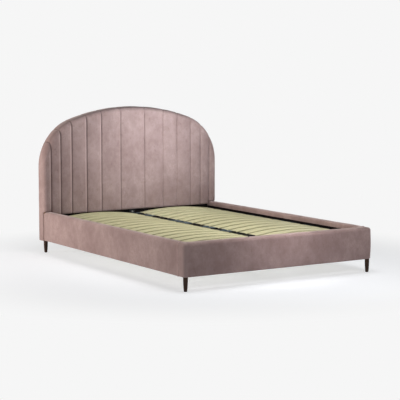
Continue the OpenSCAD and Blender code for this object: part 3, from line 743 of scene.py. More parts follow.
def border_point(x, z, back, inset, dip, sizes):
    """A point on a ring of the border, and the painted shade on it."""
    belly = BELLY * math.sin(math.pi * min(1.0, back / 0.08)) if inset < 0.001 else 0.0
    fullness = 0.7 + lumps(x) * (swell(x) - 0.7)
    crease = 0.0009 * ripple(x * 26, z * 26, back * 18) * min(1.0, back / 0.02) if inset < 0.01 else 0.0
    into = inset + rim_pull(x, pinch(x, 0.0062), sizes) * dip - belly * fullness - crease
    # Painted shade on the upward-facing part of the border, fading towards the back.
    turned = 1.5 * outward(x, z)[1] * max(0.15, 1 - back / 0.045)
    # Painted shade in the seams where they cross the border.
    stitches = painted_seam_shade(x) * pinch(x, 0.0045) * min(1.0, dip * 1.8) if abs(x) < FLUTED_HALF else 0.0
    aside, down = lean(x, z, 0.0)
    along, up = outward(x + aside, z + down)
    return (x + aside - along * into, FACE_Y + back, z + down - up * into), max(turned, stitches)


def headboard_cover(sizes, material):
    """Padded flutes on the face, rolled over the arch and on round the border to the back."""
    points, marks = [], []

    def add(place, mark):
        """Keeps a point with its mark, and gives its number."""
        points.append(place)
        marks.append(mark)
        return len(points) - 1

    columns, grid = headboard_columns(), []
    for x in columns:
        rows = headboard_rows(x)
        grid.append([add(*face_point(x, z, z - rows[0], sizes)) for z in rows])
    faces = [(grid[c][r], grid[c + 1][r], grid[c + 1][r + 1], grid[c][r + 1])
             for c in range(len(grid) - 1) for r in range(len(grid[0]) - 1)]

    # The rim, from the left foot up over the arch to the right foot
    legs = [LEG_H + (RAIL_TOP - LEG_H) * t for t in (0, 0.004, 0.02, 0.2, 0.4, 0.6, 0.8, 0.97)]
    left, right, top = grid[0], grid[-1][::-1], [line[-1] for line in grid[1:-1]]
    rim = [add((LEG_ROLL - HALF, FACE_Y, z), 0.0) for z in legs] + left + top + right \
        + [add((HALF - LEG_ROLL, FACE_Y, z), 0.0) for z in legs[::-1]]
    sources = [(-HALF, z) for z in legs] + [(-HALF, points[i][2]) for i in left] \
        + [(x, arch_top(x)) for x in columns[1:-1]] \
        + [(HALF, points[i][2]) for i in right] + [(HALF, z) for z in legs[::-1]]
    loops = [rim]
    for ring in BORDER_RINGS:
        loops.append([add(*border_point(x, z, *ring, sizes)) for x, z in sources])
    last = len(rim) - 1
    for near, far in zip(loops, loops[1:]):
        faces += [(near[k], near[k + 1], far[k + 1], far[k]) for k in range(last)]

    # Closed at both feet, along the border's inner sides and under the hem
    faces.append(tuple(loop[0] for loop in loops))
    faces.append(tuple(loop[-1] for loop in reversed(loops)))
    first, end = len(legs), last - len(legs)
    faces += [(loops[0][k], loops[-1][k], loops[-1][k + 1], loops[0][k + 1])
              for k in (*range(first), *range(end, last))]
    faces.append(tuple([line[0] for line in grid] + [loops[-1][k] for k in range(end, first - 1, -1)]))
    piece = sewn("fluted_headboard_cover", points, faces, {"seam": marks})
    dress(piece, material, stands_for=("headboard_fluted_pad", "headboard_border"))


# Rails

def side_section():
    """Outline of a side rail across it, from inside to outside, with outward directions."""
    points = arc((IN_LOW_R, LEG_H + IN_LOW_R), IN_LOW_R, 180, 90, 2)
    points += [(IN_LOW_R + (WIDE - LOW_R - IN_LOW_R) * t, LEG_H, 0, -1) for t in (0.25, 0.5, 0.75)]
    points += arc((WIDE - LOW_R, LEG_H + LOW_R), LOW_R, 270, 90, 5)
    points += [(WIDE, LEG_H + LOW_R + TOP_SPAN * k / 13, 1, 0) for k in range(1, 13)]
    points += arc((WIDE - TOP_R, RAIL_TOP - TOP_R), TOP_R, 0, 90, 8)
    points += [(WIDE - TOP_R - (WIDE - TOP_R - IN_TOP_R) * k / 4, RAIL_TOP, 0, 1) for k in range(1, 4)]
    points += arc((IN_TOP_R, RAIL_TOP - IN_TOP_R), IN_TOP_R, 90, 90, 5)
    points += [(0, RAIL_TOP - IN_TOP_R - IN_SPAN * k / 8, -1, 0) for k in range(1, 8)]
    return points


def rail_cover(side, points, marks, rings, low, high, material):
    """A padded cover from the points of its outside, with the space of its board cut out."""
    name = f"{side}_rail_velvet"
    outside = sewn(name, points, skin_faces(rings, len(points) // rings), {"seam": marks})
    corners = [(x, y, z) for x in (low[0], high[0]) for y in (low[1], high[1]) for z in (low[2], high[2])]
    walls = [(2, 3, 1, 0), (5, 7, 6, 4), (1, 5, 4, 0), (6, 7, 3, 2), (4, 6, 2, 0), (3, 7, 5, 1)]
    inside = sewn(name + "_inside", corners, walls, {"seam": [0.0] * len(corners)})
    turn_normals(inside, inside=True)
    piece = dress(weld([outside, inside], name), material, stands_for=(f"{side}_rail_cover",))


def side_rail_cover(side, material):
    """A padded side rail: soft top edges, a slightly full outer face and slack in the cloth."""
    section, length, plain, high = side_section(), FACE_Y - FOOT_IN_Y, 84, RAIL_TOP - LEG_H
    end = (0, 0.0008, 0.0022, 0.0045, 0.0075, 0.012)
    stations = [*end, *(end[-1] + (length - 2 * end[-1]) * k / plain for k in range(1, plain)),
                *(length - step for step in reversed(end))]
    points, marks = [], []
    for along in stations:
        gap, at_foot = min(along, length - along), along < length / 2
        tuck = (TUCK if at_foot else HEAD_TUCK) * (1 - roll(gap, TUCK_W))
        for u, z, nu, nz in section:
            out, up = max(0.0, nu), max(0.0, nz)
            belly = BELLY * out * math.sin(math.pi * (z - LEG_H) / high) \
                + 0.0018 * up ** 2 * math.sin(math.pi * min(1.0, u / WIDE))
            slack = ripple(side * 4 + u * 6, along * 5.5, z * 7) * 0.0014 \
                + ripple(side * 9 + u * 15, along * 17, z * 15) * FINE_SLACK
            grow = (out + up) * ((belly + slack) * min(1.0, gap / 0.05) - tuck)
            points.append((side * (INNER + u + nu * grow), FOOT_IN_Y + along, z + nz * grow))
            # Painted shade along the seam with the foot rail, and painted light at the headboard end, where
            # the join would show dark.
            marks.append(near_to(gap, PAINTED_SEAM_LINE) if at_foot else -1.4 * near_to(gap, 0.007))
    xs = sorted((side * (INNER + RAIL_BACKING), side * (OUTER - RAIL_PAD)))
    rail_cover(SIDES[side], points, marks, len(stations), (xs[0], FOOT_IN_Y + BOARD_GAP, BOARD_LOW),
               (xs[1], FACE_Y - BOARD_GAP, BOARD_HIGH), material)


def foot_rail_rings():
    """Rings up the foot rail: inset at front and sides with the height there, then the same at the rear."""
    def turned(front_r, rear_r, a, base, way):
        """A step round the front and the rear edge together."""
        drawn, risen = 1 - math.sin(a), way * (1 - math.cos(a))
        return front_r * drawn, base + front_r * risen, rear_r * drawn, base + rear_r * risen

    rings = [(MIDDLE, LEG_H, MIDDLE, LEG_H), (TOP_R, LEG_H, TOP_R, LEG_H)]
    rings += [turned(LOW_R, IN_LOW_R, math.pi / 2 * k / 6, LEG_H, 1) for k in range(7)]
    rings += [(-0.0024 * math.sin(math.pi * k / 14), LEG_H + LOW_R + TOP_SPAN * k / 14,
               0, LEG_H + IN_LOW_R + IN_SPAN * k / 14) for k in range(1, 14)]
    rings += [turned(TOP_R, IN_TOP_R, math.pi / 2 * (1 - k / 9), RAIL_TOP, -1) for k in range(10)]
    rings += [(TOP_R + (MIDDLE - TOP_R) * k / 4, RAIL_TOP + 0.0022 * k / 4,
               IN_TOP_R + (MIDDLE - IN_TOP_R) * k / 4, RAIL_TOP + 0.0022 * k / 4) for k in range(1, 5)]
    return rings


def foot_rail_outline(inset, z, rear, rear_z):
    """One ring: points with their outward directions, and 1 where the cloth is soft or 0 at the rear."""
    across, deep, turn = 120, 6, 10
    left, right, front = inset - OUTER, OUTER - inset, FOOT_Y + inset
    radius = max(CORNER_R - inset, 0.0008)
    bend, outline = front + radius, []
    for k in range(across + 1):
        x = left + (right - left) * k / across
        free = clamp((INNER - 0.002 - abs(x)) / 0.012)
        closed = min(rear, 0.001) + 0.04 * rear
        drawn = rear * free + closed * (1 - free) if rear < 0.04 else rear
        outline.append((x, FOOT_IN_Y - drawn, rear_z if 0 < k < across else z, 0, 1, 0.0))
    rear_left, rear_right = outline[0][1], outline[-1][1]
    outline += [(right, rear_right + (bend - rear_right) * k / deep, z, 1, 0, 1.0) for k in range(1, deep)]
    outline += [(x, y, z, nx, ny, 1.0)
                for x, y, nx, ny in arc((right - radius, bend), radius, 0, -90, turn)]
    outline += [(right - radius + (left - right + 2 * radius) * k / across, front, z, 0, -1, 1.0)
                for k in range(1, across)]
    outline += [(x, y, z, nx, ny, 1.0)
                for x, y, nx, ny in arc((left + radius, bend), radius, -90, -90, turn)]
    outline += [(left, bend + (rear_left - bend) * k / deep, z, -1, 0, 1.0) for k in range(1, deep)]
    return outline


def foot_rail_cover(material):
    """The padded foot rail, round its two outer corners: rings of one outline, drawn in at its edges."""
    points, marks, rings = [], [], foot_rail_rings()
    for ring in rings:
        for x, y, z, nx, ny, soft in foot_rail_outline(*ring):
            gap, at_side = max(0.0, FOOT_IN_Y - y), abs(x) > INNER
            slack = (ripple(x * 5.5, y * 6, z * 7 + 3) * 0.0015
                     + ripple(x * 17, y * 15, z * 15) * FINE_SLACK) * min(1.0, gap / 0.03) * soft
            grow = slack - (TUCK * (1 - roll(gap, TUCK_W)) if at_side and soft else 0.0)
            top = clamp(ring[0] / TOP_R) if z > (LEG_H + RAIL_TOP) / 2 else 0.0
            out = grow * (1 - top)
            points.append((x + nx * out, y + ny * out, z + grow * top))
            # Painted shade along the seams with the side rails, and a painted highlight on the rounded
            # corners.
            marks.append((near_to(gap, PAINTED_SEAM_LINE) if at_side else 0.0) - 1.8 * abs(nx * ny))
    rail_cover("foot", points, marks, len(rings), (RAIL_PAD - OUTER, FOOT_Y + RAIL_PAD, BOARD_LOW),
               (OUTER - RAIL_PAD, FOOT_IN_Y - RAIL_BACKING, BOARD_HIGH), material)


def piping(side, material):
    """A covered cord sewn into the seam between a side rail and the foot rail."""
    path = [(u, z, nu, nz) for u, z, nu, nz in side_section() if nu > 0.05 or nz > 0.05]
    radius, sunk, around = 0.0048, 0.0016, 12
    points = []
    for u, z, nu, nz in path:
        middle = Vector((side * (INNER + u - nu * sunk), FOOT_IN_Y, z - nz * sunk))
        out = Vector((side * nu, 0, nz))
        for j in range(around):
            a = 2 * math.pi * j / around
            points.append(middle + radius * (out * math.cos(a) + Vector((0, 1, 0)) * math.sin(a)))
    piece = sewn(f"{SIDES[side]}_corner_piping", points, skin_faces(len(path), around),
                 {"seam": [0.0] * len(points)})
    dress(piece, material)


# Slat base

def first_slat():
    """A bowed slat: its section spun about the middle of the bow, with rounded long edges."""
    angle = math.asin(SLAT_HALF / (SLAT_R + SLAT_T / 2))
    at = (SLAT_MID - SLAT_R * math.sin(angle), SLAT_Y, SLAT_Z + SLAT_R * math.cos(angle))
    bare()
    bpy.ops.mesh.primitive_plane_add(size=1, location=at, rotation=(0, math.pi / 2 - angle, 0))
    bpy.context.object.scale = (SLAT_T, SLAT_W, 1)
    slat = settle("slat")
    with Bench(slat) as bench:
        bench.pick_all()
        bpy.ops.mesh.bevel(offset=SLAT_EDGE, segments=3, affect="VERTICES")
        bench.pick_all()
        bpy.ops.mesh.spin(steps=36, angle=-2 * angle, center=(SLAT_MID, SLAT_Y, SLAT_Z), axis=(0, 1, 0))
        bench.pick_all()
        bpy.ops.mesh.normals_make_consistent(inside=False)
        bench.pick("EDGE", lambda place, way: abs(abs(place.x - SLAT_MID) - SLAT_HALF) < 2 * SLAT_END
                   and abs(way.y) > 0.5)
        bpy.ops.mesh.bevel(offset=SLAT_END, segments=2)
    shade_smooth(slat, 35)
    return slat


def mark_layers(slat):
    """Writes each point's height within the slat's thickness, for the pressed layers at its edges."""
    middle = SLAT_MID if slat.data.vertices[0].co.x > 0 else -SLAT_MID
    values = [(math.hypot(v.co.x - middle, v.co.z - SLAT_Z) - SLAT_R) / SLAT_T + 0.5
              for v in slat.data.vertices]
    slat.data.attributes.new("ply", "FLOAT", "POINT").data.foreach_set("value", values)


def make_slats(material):
    """Two banks of bowed slats."""
    model = first_slat()
    for side, shift in (("left", -2 * SLAT_MID), ("right", 0.0)):
        for k in range(SLATS):
            slat = moved_copy(model, (shift, SLAT_PITCH * k, 0), f"{side}_birch_slat_{k + 1:02d}")
            mark_layers(slat)
            dress(slat, material, stands_for=(f"{side}_slat_{k + 1:02d}",))
    bpy.data.objects.remove(model)


def slat_height(x):
    """Middle of a slat's thickness over a place on the right half."""
    return SLAT_Z + math.sqrt(SLAT_R ** 2 - (x - SLAT_MID) ** 2)


def holder_block(low_x, high_x, mouth):
    """The plain body of a holder, as high as it stands at the mouth of its pocket."""
    return block("holder", (low_x, SLAT_Y - HOLDER_HALF, LEDGE_TOP),
                 (high_x, SLAT_Y + HOLDER_HALF, slat_height(mouth) + ROOF))


def pocket(bench, mouth, inner, way):
    """Draws the slat's pocket into a holder from its mouth, with its floor just under the slat."""
    bench.pick("FACE", lambda place, normal: normal.x * way > 0.9 and abs(place.x - mouth) < 1e-4)
    bpy.ops.mesh.inset(thickness=WALL, depth=0)
    floor = slat_height(abs(mouth)) - SLAT_T / 2 - 0.0003
    bench.pick("VERT", lambda place, normal: abs(place.x - mouth) < 1e-4
               and abs(place.y - SLAT_Y) < HOLDER_HALF - 0.001 and place.z < LEDGE_TOP + 0.006)
    bpy.ops.transform.translate(value=(0, 0, floor - LEDGE_TOP - WALL))
    bench.pick("FACE", lambda place, normal: normal.x * way > 0.9 and abs(place.x - mouth) < 1e-4
               and abs(place.y - SLAT_Y) < 0.01 and place.z > floor)
    drop = slat_height(abs(inner)) - slat_height(abs(mouth))
    bpy.ops.mesh.extrude_region_move(TRANSFORM_OT_translate={"value": (inner - mouth, 0, drop)})


def pegged(body, x):
    """Breaks the edges of a holder, and joins the peg below it."""
    soften(body, EDGE)
    peg = rod("peg", (x, SLAT_Y, LEDGE_TOP - PEG_L), PEG_R, PEG_L + 0.0005, 0.005, 24)
    soften(peg, EDGE)
    return weld([body, peg], "holder")


def centre_holder():
    """A double holder on the centre rail, with a pocket for a slat at each side and a peg below."""
    mouth = SLAT_IN + GRIP
    body = holder_block(-mouth, mouth, mouth)
    with Bench(body) as bench:
        for x in (-SLAT_IN, SLAT_IN):
            bench.pick_all()
            bpy.ops.mesh.bisect(plane_co=(x, 0, 0), plane_no=(1, 0, 0))
        bench.pick("VERT", lambda place, normal: abs(place.x) < 0.01 and place.z > HOLDER_UPPER)
        bpy.ops.transform.translate(value=(0, 0, slat_height(SLAT_IN) - slat_height(mouth)))
        for way in (1, -1):
            pocket(bench, way * mouth, way * SLAT_IN, way)
        for way in (-1, 1):
            bench.pick("FACE", lambda place, normal: normal.z > 0.8 and 0.01 < place.x * way < 0.03
                       and place.z > HOLDER_UPPER)
            bpy.ops.mesh.inset(thickness=SUNK_RIM, depth=-EDGE)
    return pegged(body, 0)


def side_holder():
    """A single holder on the right ledge, closed at its outer side."""
    outer, mouth = SLAT_OUT + SHELL, SLAT_OUT - GRIP
    body = holder_block(mouth, outer, mouth)
    with Bench(body) as bench:
        bench.pick("VERT", lambda place, normal: place.x > outer - 0.001 and place.z > HOLDER_UPPER)
        bpy.ops.transform.translate(value=(0, 0, slat_height(outer) - slat_height(mouth)))
        pocket(bench, mouth, SLAT_OUT, -1)
        bench.pick("FACE", lambda place, normal: normal.z > 0.8 and place.z > HOLDER_UPPER)
        bpy.ops.mesh.inset(thickness=SUNK_RIM, depth=-EDGE)
    return pegged(body, INNER - PEG_L)


def make_holders(material):
    """Rows of holders on the centre rail and on both ledges."""
    moves = [(0, SLAT_PITCH * k, 0) for k in range(SLATS)]
    centre = repeat(centre_holder(), moves, "centre_holders_moulded")
    dress(centre, material, stands_for=("centre_slat_holders",))
    right = repeat(side_holder(), moves, "right_holders_moulded")
    side = weld([mirror_copy(right, "left_holders_moulded"), right], "side_holders_moulded")
    dress(side, material, stands_for=("side_slat_holders",))


# Legs, fittings and cloths

def tapered_leg(name, x, y):
    """A turned leg: its side swells out a little between its top and its small sole."""
    foot, top, full, rings = 0.0115, 0.017, 0.0014, 10
    leg = rod(name, (x, y, 0), foot, LEG_H, top, 72)
    with Bench(leg) as bench:
        for k in range(1, rings):
            bench.pick_all()
            bpy.ops.mesh.bisect(plane_co=(0, 0, LEG_H * k / rings), plane_no=(0, 0, 1))
        for t in (k / rings for k in range(1, rings)):
            bench.pick("VERT", lambda place, normal: abs(place.z - LEG_H * t) < 1e-5)
            grow = 1 + 4 * full * t * (1 - t) / (foot + (top - foot) * t)
            bpy.ops.transform.resize(value=(grow, grow, 1), center_override=(x, y, LEG_H * t))
        bench.pick("FACE", lambda place, normal: normal.z < -0.9)
        bpy.ops.mesh.bevel(offset=0.0014, segments=3)
        bench.pick("FACE", lambda place, normal: normal.z > 0.9)
        bpy.ops.mesh.bevel(offset=0.0010, segments=2)
    shade_smooth(leg, 40)
    return leg


def ledge_screws():
    """Countersunk screw heads with a round recess, along the inner face of both ledges."""
    head = rod("screw", (INNER - 0.028, SLAT_Y + SLAT_PITCH / 2, 0.245), 0.0042, 0.0009, 0.0030, 24,
               (0, -math.pi / 2, 0))
    with Bench(head) as bench:
        bench.pick("FACE", lambda place, normal: normal.x < -0.9)
        bpy.ops.mesh.inset(thickness=0.0012)
        bpy.ops.mesh.extrude_region_move(TRANSFORM_OT_translate={"value": (0.0006, 0, 0)})
    soften(head, 0.0002)
    right = repeat(head, [(0, SLAT_PITCH * 2 * k, 0) for k in range(8)], "right_ledge_screws")
    return weld([right, mirror_copy(right, "left_ledge_screws")], "ledge_screws")


def laid(lines, steps, at):
    """Points of a sheet, line after line, each from its shares of the length and of the height."""
    return [at(i / steps, j / lines) for j in range(lines + 1) for i in range(steps + 1)]


def stretched(name, points, faces, material, flat, rests_on, thick=CLOTH_T, stands_for=(), **more):
    """A stretched sheet of black cloth, given its thickness."""
    piece = sewn(name, points, faces)
    apply(piece, "SOLIDIFY", thickness=thick, offset=0)
    dress(piece, material, stands_for=stands_for)


def lower_lining(material):
    """Black cloth stretched over the headboard's face between the rails."""
    x, low, high = INNER - 0.0005, LEG_H + 0.0005, HEM_Z - 0.0008
    across, up = 60, 10

    def at(u, v):
        """A point of the cloth, with its slack."""
        slack = ripple(u * 14, v * 3, 5) * 0.0003 * math.sin(math.pi * u)
        return -x + 2 * x * u, LINING_Y + CLOTH_T + slack, low + (high - low) * v

    stretched("stretched_lower_lining", laid(up, across, at), sheet_faces(up, across), material,
              (2 * x, high - low), ["headboard_face_panel"], stands_for=("headboard_lower_lining",))


def rail_lining(side, material):
    """Black cloth on the inner face of a side rail, from above the ledge to the edge of the velvet."""
    low, high = LEDGE_TOP + STRIP_T, LEDGE_TOP + 0.032
    from_y, to_y = FOOT_IN_Y + 0.004, LINING_Y - 0.003
    across, up = 120, 3

    def at(u, v):
        """A point of the strip, whose upper edge is a little wavy."""
        wave = 0.0006 * ripple(u * 40, side, 3) if v == 1 else 0.0
        return side * (INNER - STRIP_T), from_y + (to_y - from_y) * u, low + (high - low) * v + wave

    stretched(f"{SIDES[side]}_rail_lining", laid(up, across, at), sheet_faces(up, across), material,
              (to_y - from_y, high - low), [f"{SIDES[side]}_rail_velvet"], STRIP_T)


def dust_cloth(material):
    """Black cloth over the back, stapled on the velvet's fold, a little slack between its edges."""
    low, rows, half = LEG_H + 0.012, 40, HALF - CLOTH_IN
    right = [SHOULDER_X * k / 24 for k in range(24)]
    right += [SHOULDER_X + (SHOULDER_R - CLOTH_IN) * math.sin(math.radians(3 * k)) for k in range(31)]
    columns = [-x for x in right[:0:-1]] + right
    tops = [arch_top(x, CLOTH_IN) for x in columns]
    area = sum((columns[k] - columns[k - 1]) * (tops[k] + tops[k - 1] - 2 * low) / 2
               for k in range(1, len(columns)))
    points = []
    for x, top in zip(columns, tops):
        for j in range(rows + 1):
            z = low + (top - low) * j / rows
            free = clamp(min(half - abs(x), top - z, z - low) / 0.06)
            sag = free * (0.0011 + 0.0005 * ripple(x * 7, z * 7, 2))
            points.append((x, BACK_Y + CLOTH_T - sag, z))
    stretched("back_dust_cloth", points, sheet_faces(len(columns) - 1, rows), material,
              (2 * half, TOP - CLOTH_IN - low), ["headboard_back_panel", "fluted_headboard_cover"],
              area=area)


def staples(material):
    """Wire staples round the dust cloth."""
    model = block("staple", (-0.006, BACK_Y + 0.0012, -0.0004), (0.006, BACK_Y + 0.0019, 0.0004))
    with Bench(model) as bench:
        bench.pick("EDGE", lambda place, way: abs(way.y) > 0.9)
        bpy.ops.mesh.bevel(offset=0.0003, segments=1)
        bench.pick("FACE", lambda place, normal: normal.y > 0.9)
        bpy.ops.mesh.inset(thickness=0.0001)
    places, reach, pitch = [], 0.775, 0.08
    for k in range(-16, 17):
        x = reach * k / 16
        z = arch_top(x, STAPLE_IN)
        places.append((x, z, math.atan2(*outward(x, z))))
    places += [(side * (HALF - STAPLE_IN), LEG_H + 0.03 + pitch * k, math.pi / 2)
               for k in range(8) for side in SIDES]
    places += [(pitch * k, LEG_H + 0.020, 0.0) for k in range(-9, 10)]
    made = []
    for x, z, turn in places:
        staple = copy_of(model)
        staple.location, staple.rotation_euler = (x, 0, z), (0, turn, 0)
        bpy.ops.object.transform_apply(location=True, rotation=True, scale=False)
        made.append(staple)
    bpy.data.objects.remove(model)
    dress(weld(made, "dust_cloth_staples"), material)


# Settings

def length_prop(name, description, default, most):
    """A length that can be set in the sidebar."""
    return bpy.props.FloatProperty(name=name, description=description, default=default, min=0.0, max=most,
                                   unit="LENGTH")


def colour_prop(name, description, default):
    """A colour that can be set in the sidebar."""
    return bpy.props.FloatVectorProperty(name=name, description=description, default=default, min=0, max=1,
                                         subtype="COLOR")


class BedSizes(bpy.types.PropertyGroup):
    """Depths of the padding that can be set"""
    flute_depth: length_prop("Flute depth", "How far a flute rises over its seams", 0.0120, 0.02)
    seam_depth: length_prop("Seam depth", "How far the stitches pull the cloth in", 0.0045, 0.01)
    edge_dip: length_prop("Edge dip", "Dip of a seam where it crosses the arch", 0.0055, 0.01)


class BedColours(bpy.types.PropertyGroup):
    """Colours of the bed's materials"""
    velvet_light: colour_prop("Velvet, brushed up", "Colour of the light strokes", (0.463, 0.337, 0.320))
    velvet_dark: colour_prop("Velvet, brushed down", "Colour of the dark strokes", (0.273, 0.182, 0.173))
    slat_wood: colour_prop("Slats", "Colour of the birch slats", (0.62, 0.595, 0.362))
    leg_wood: colour_prop("Legs", "Colour of the stained legs", (0.060, 0.032, 0.021))
    board_wood: colour_prop("Boards", "Colour of the plywood boards", (0.58, 0.42, 0.25))
    frame_wood: colour_prop("Frame", "Colour of the pine frame and ledges", (0.66, 0.50, 0.31))
    plastic: colour_prop("Plastic", "Colour of the holders and feet", (0.007, 0.007, 0.008))
    steel: colour_prop("Steel", "Colour of the powder-coated steel", (0.016, 0.016, 0.018))
    zinc: colour_prop("Zinc", "Colour of the plated bolts", (0.66, 0.67, 0.68))
    lining: colour_prop("Lining", "Colour of the black cloths", (0.006, 0.0045, 0.0045))


def sizes():
    """The sizes that are set in the sidebar."""
    return bpy.context.scene.bed_sizes


def colours():
    """The colours that are set in the sidebar."""
    return bpy.context.scene.bed_colours


MADE = {}


def material(name, maker, *rest):
    """Each material is made once and shared."""
    if name not in MADE:
        MADE[name] = maker(name, *rest)
    return MADE[name]


# Solids that stay as they are: their material, and the width of a fine bevel on their edges
KEPT_SOLIDS = (
    ("slat_ledges", "pine", 0.0015), ("centre_rail", "steel", 0.0),
    ("centre_rail_brackets", "steel", 0.0006),
    ("head_centre_leg", "steel", 0.0006), ("foot_centre_leg", "steel", 0.0006),
    ("head_levelling_foot", "plastic", 0.0004), ("foot_levelling_foot", "plastic", 0.0004),
    ("corner_brackets", "steel", 0.0006), ("bracket_bolts", "zinc", 0.0004),
    ("leg_hanger_bolts", "zinc", 0.0),
    ("headboard_face_panel", "ply", 0.0), ("headboard_timber_frame", "upright pine", 0.0),
    ("left_rail_board", "ply", 0.0), ("right_rail_board", "ply", 0.0), ("foot_rail_board", "ply", 0.0),
    ("headboard_back_panel", "cloth", 0.0))


def coat_solid(node, stuff, edge):
    """Gives a solid that stays its material, and where asked a fine bevel on its welded edges."""
    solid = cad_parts[node]
    solid.data.materials.clear()
    solid.data.materials.append(stuff)
    if edge:
        merge = solid.modifiers.new("Merge", "WELD")
        merge.merge_threshold = 0.00002
        bevel = solid.modifiers.new("Edges", "BEVEL")
        bevel.width, bevel.segments, bevel.limit_method = edge, 2, "ANGLE"
        bevel.angle_limit = math.radians(40)


class BED_OT_headboard(bpy.types.Operator):
    """Makes the fluted velvet cover of the headboard"""
    bl_idname = "bed.headboard"
    bl_label = "Headboard"

    def execute(self, context):
        headboard_cover(sizes(), material("headboard_velvet", velvet, colours()))
        return {"FINISHED"}


class BED_OT_rails(bpy.types.Operator):
    """Makes the padded covers of the rails and the piping at the corners"""
    bl_idname = "bed.rails"
    bl_label = "Rails"

    def execute(self, context):
        cloth = material("rail_velvet", velvet, colours())
        for side in SIDES:
            side_rail_cover(side, cloth)
            # The piping is a lighter velvet: a painted highlight along the cord.
            piping(side, material("piping_velvet", velvet, colours(), 1.6))
        foot_rail_cover(cloth)
        return {"FINISHED"}


class BED_OT_slats(bpy.types.Operator):
    """Makes the two banks of bowed slats"""
    bl_idname = "bed.slats"
    bl_label = "Slats"

    def execute(self, context):
        make_slats(material("birch_layers", birch, colours()))
        return {"FINISHED"}


class BED_OT_holders(bpy.types.Operator):
    """Makes the holders that carry the slats"""
    bl_idname = "bed.holders"
    bl_label = "Slat holders"

    def execute(self, context):
        make_holders(material("moulded_plastic", moulded_plastic, colours()))
        return {"FINISHED"}


class BED_OT_legs(bpy.types.Operator):
    """Makes the four tapered wooden legs"""
    bl_idname = "bed.legs"
    bl_label = "Legs"

    def execute(self, context):
        stained = material("stained_wood", dark_wood, colours())
        for end, y in LEGS_Y.items():
            for way, side in SIDES.items():
                leg = tapered_leg(f"{end}_{side}_turned_leg", way * LEGS_X, y)
                dress(leg, stained, stands_for=(f"{end}_{side}_leg",))
        return {"FINISHED"}


class BED_OT_fittings(bpy.types.Operator):
    """Finishes the ledges, the centre rail, the brackets, the bolts and the boards"""
    bl_idname = "bed.fittings"
    bl_label = "Fittings and boards"

    def execute(self, context):
        stuff = {
            "steel": material("powder_coat", powder_coat, colours()),
            "zinc": material("zinc_plate", zinc, colours()),
            "plastic": material("moulded_plastic", moulded_plastic, colours()),
            "pine": material("pine_along", raw_board, colours().frame_wood, "Y", False),
            "upright pine": material("pine_upright", raw_board, colours().frame_wood, "Z", False),
            "ply": material("plywood", raw_board, colours().board_wood, "Z"),
            "cloth": material("black_cloth", lining, colours()),
        }
        for node, kind, edge in KEPT_SOLIDS:
            coat_solid(node, stuff[kind], edge)
        dress(ledge_screws(), stuff["zinc"])
        return {"FINISHED"}


class BED_OT_cloths(bpy.types.Operator):
    """Makes the black cloths below the hem, inside the rails and over the back"""
    bl_idname = "bed.cloths"
    bl_label = "Cloths"

    def execute(self, context):
        cloth = material("black_cloth", lining, colours())
        lower_lining(cloth)
        for side in SIDES:
            rail_lining(side, cloth)
        dust_cloth(cloth)
        staples(material("zinc_plate", zinc, colours()))
        return {"FINISHED"}


# Studio

COLD, COOL, CLEAR = (0.92, 1.0, 1.07), (0.93, 1.0, 1.06), (1.02, 1.0, 0.97)
WARM, MILD, ROSY = (1.08, 0.98, 0.90), (1.03, 1.01, 0.92), (1.02, 0.98, 0.99)

# Name, place, aim, width, depth, power, tint and spread in degrees
LIGHTS = (
    ("key", (0.0, 0.35, 1.15), (0.0, 1.04, 1.05), 0.4, 0.3, 0.95, COLD, 180),
    ("key_right", (0.75, 0.0, 1.4), (0.35, 1.04, 1.0), 0.6, 0.5, 0.5, COOL, 70),
    ("key_left", (-0.6, -0.4, 1.1), (-0.45, 1.04, 0.80), 0.5, 0.4, 0.4, COOL, 60),
    ("key_low", (0.30, -0.3, 0.97), (0.20, 1.04, 0.98), 0.5, 0.4, 3.7, COLD, 90),
    ("left_low", (-3.6, 1.6, 0.85), (-0.8, 0.2, 0.45), 1.8, 0.8, 77, WARM, 180),
    ("right_back", (3.6, 2.2, 1.8), (0.8, 0.3, 0.4), 2.0, 1.6, 29, MILD, 180),
    ("over_high", (0.4, -1.2, 5.0), (0.2, -0.8, 0), 5.0, 5.0, 27, CLEAR, 180),
    ("over_middle", (-0.1, -0.3, 3.0), (-0.1, -0.3, 0.3), 1.2, 2.0, 6.8, CLEAR, 55),
    ("over_foot", (0.3, -1.2, 2.6), (0.2, -0.5, 0.2), 2.0, 1.6, 6.0, CLEAR, 180),
    ("foot_fill", (0.45, -2.20, 0.95), (0.26, -1.13, 0.25), 0.5, 0.4, 4.3, ROSY, 180),
    ("foot_top", (0.05, -1.65, 1.10), (0.02, -1.13, 0.38), 0.3, 0.2, 0.50, ROSY, 60))

CAMERA_AT = (-5.528, -8.796, 1.604)
CAMERA_TURN = (83.84, 0, -32.24)    # in degrees
CAMERA_LENS, CAMERA_SENSOR = 120.9, 36

FLOOR = (0.52, 0.55, 0.59)
FLOOR_NEAR, FLOOR_FAR = 1.35, 2.5   # where the floor's near look ends, and where its far one starts
SKY = (0.13, 0.13, 0.133, 1)
BACKDROP = (0.922, 0.922, 0.922, 1)


def softbox(name, place, aim, width, depth, power, colour, spread):
    """A softbox that points at an aim and isn't seen itself."""
    lamp = bpy.data.lights.new(name, "AREA")
    lamp.shape, lamp.size, lamp.size_y, lamp.energy, lamp.color = "RECTANGLE", width, depth, power, colour
    lamp.spread = math.radians(spread)
    holder = bpy.data.objects.new(name, lamp)
    bpy.context.scene.collection.objects.link(holder)
    holder.location = place
    holder.rotation_euler = (Vector(aim) - Vector(place)).to_track_quat("-Z", "Y").to_euler()
    holder.visible_camera = False


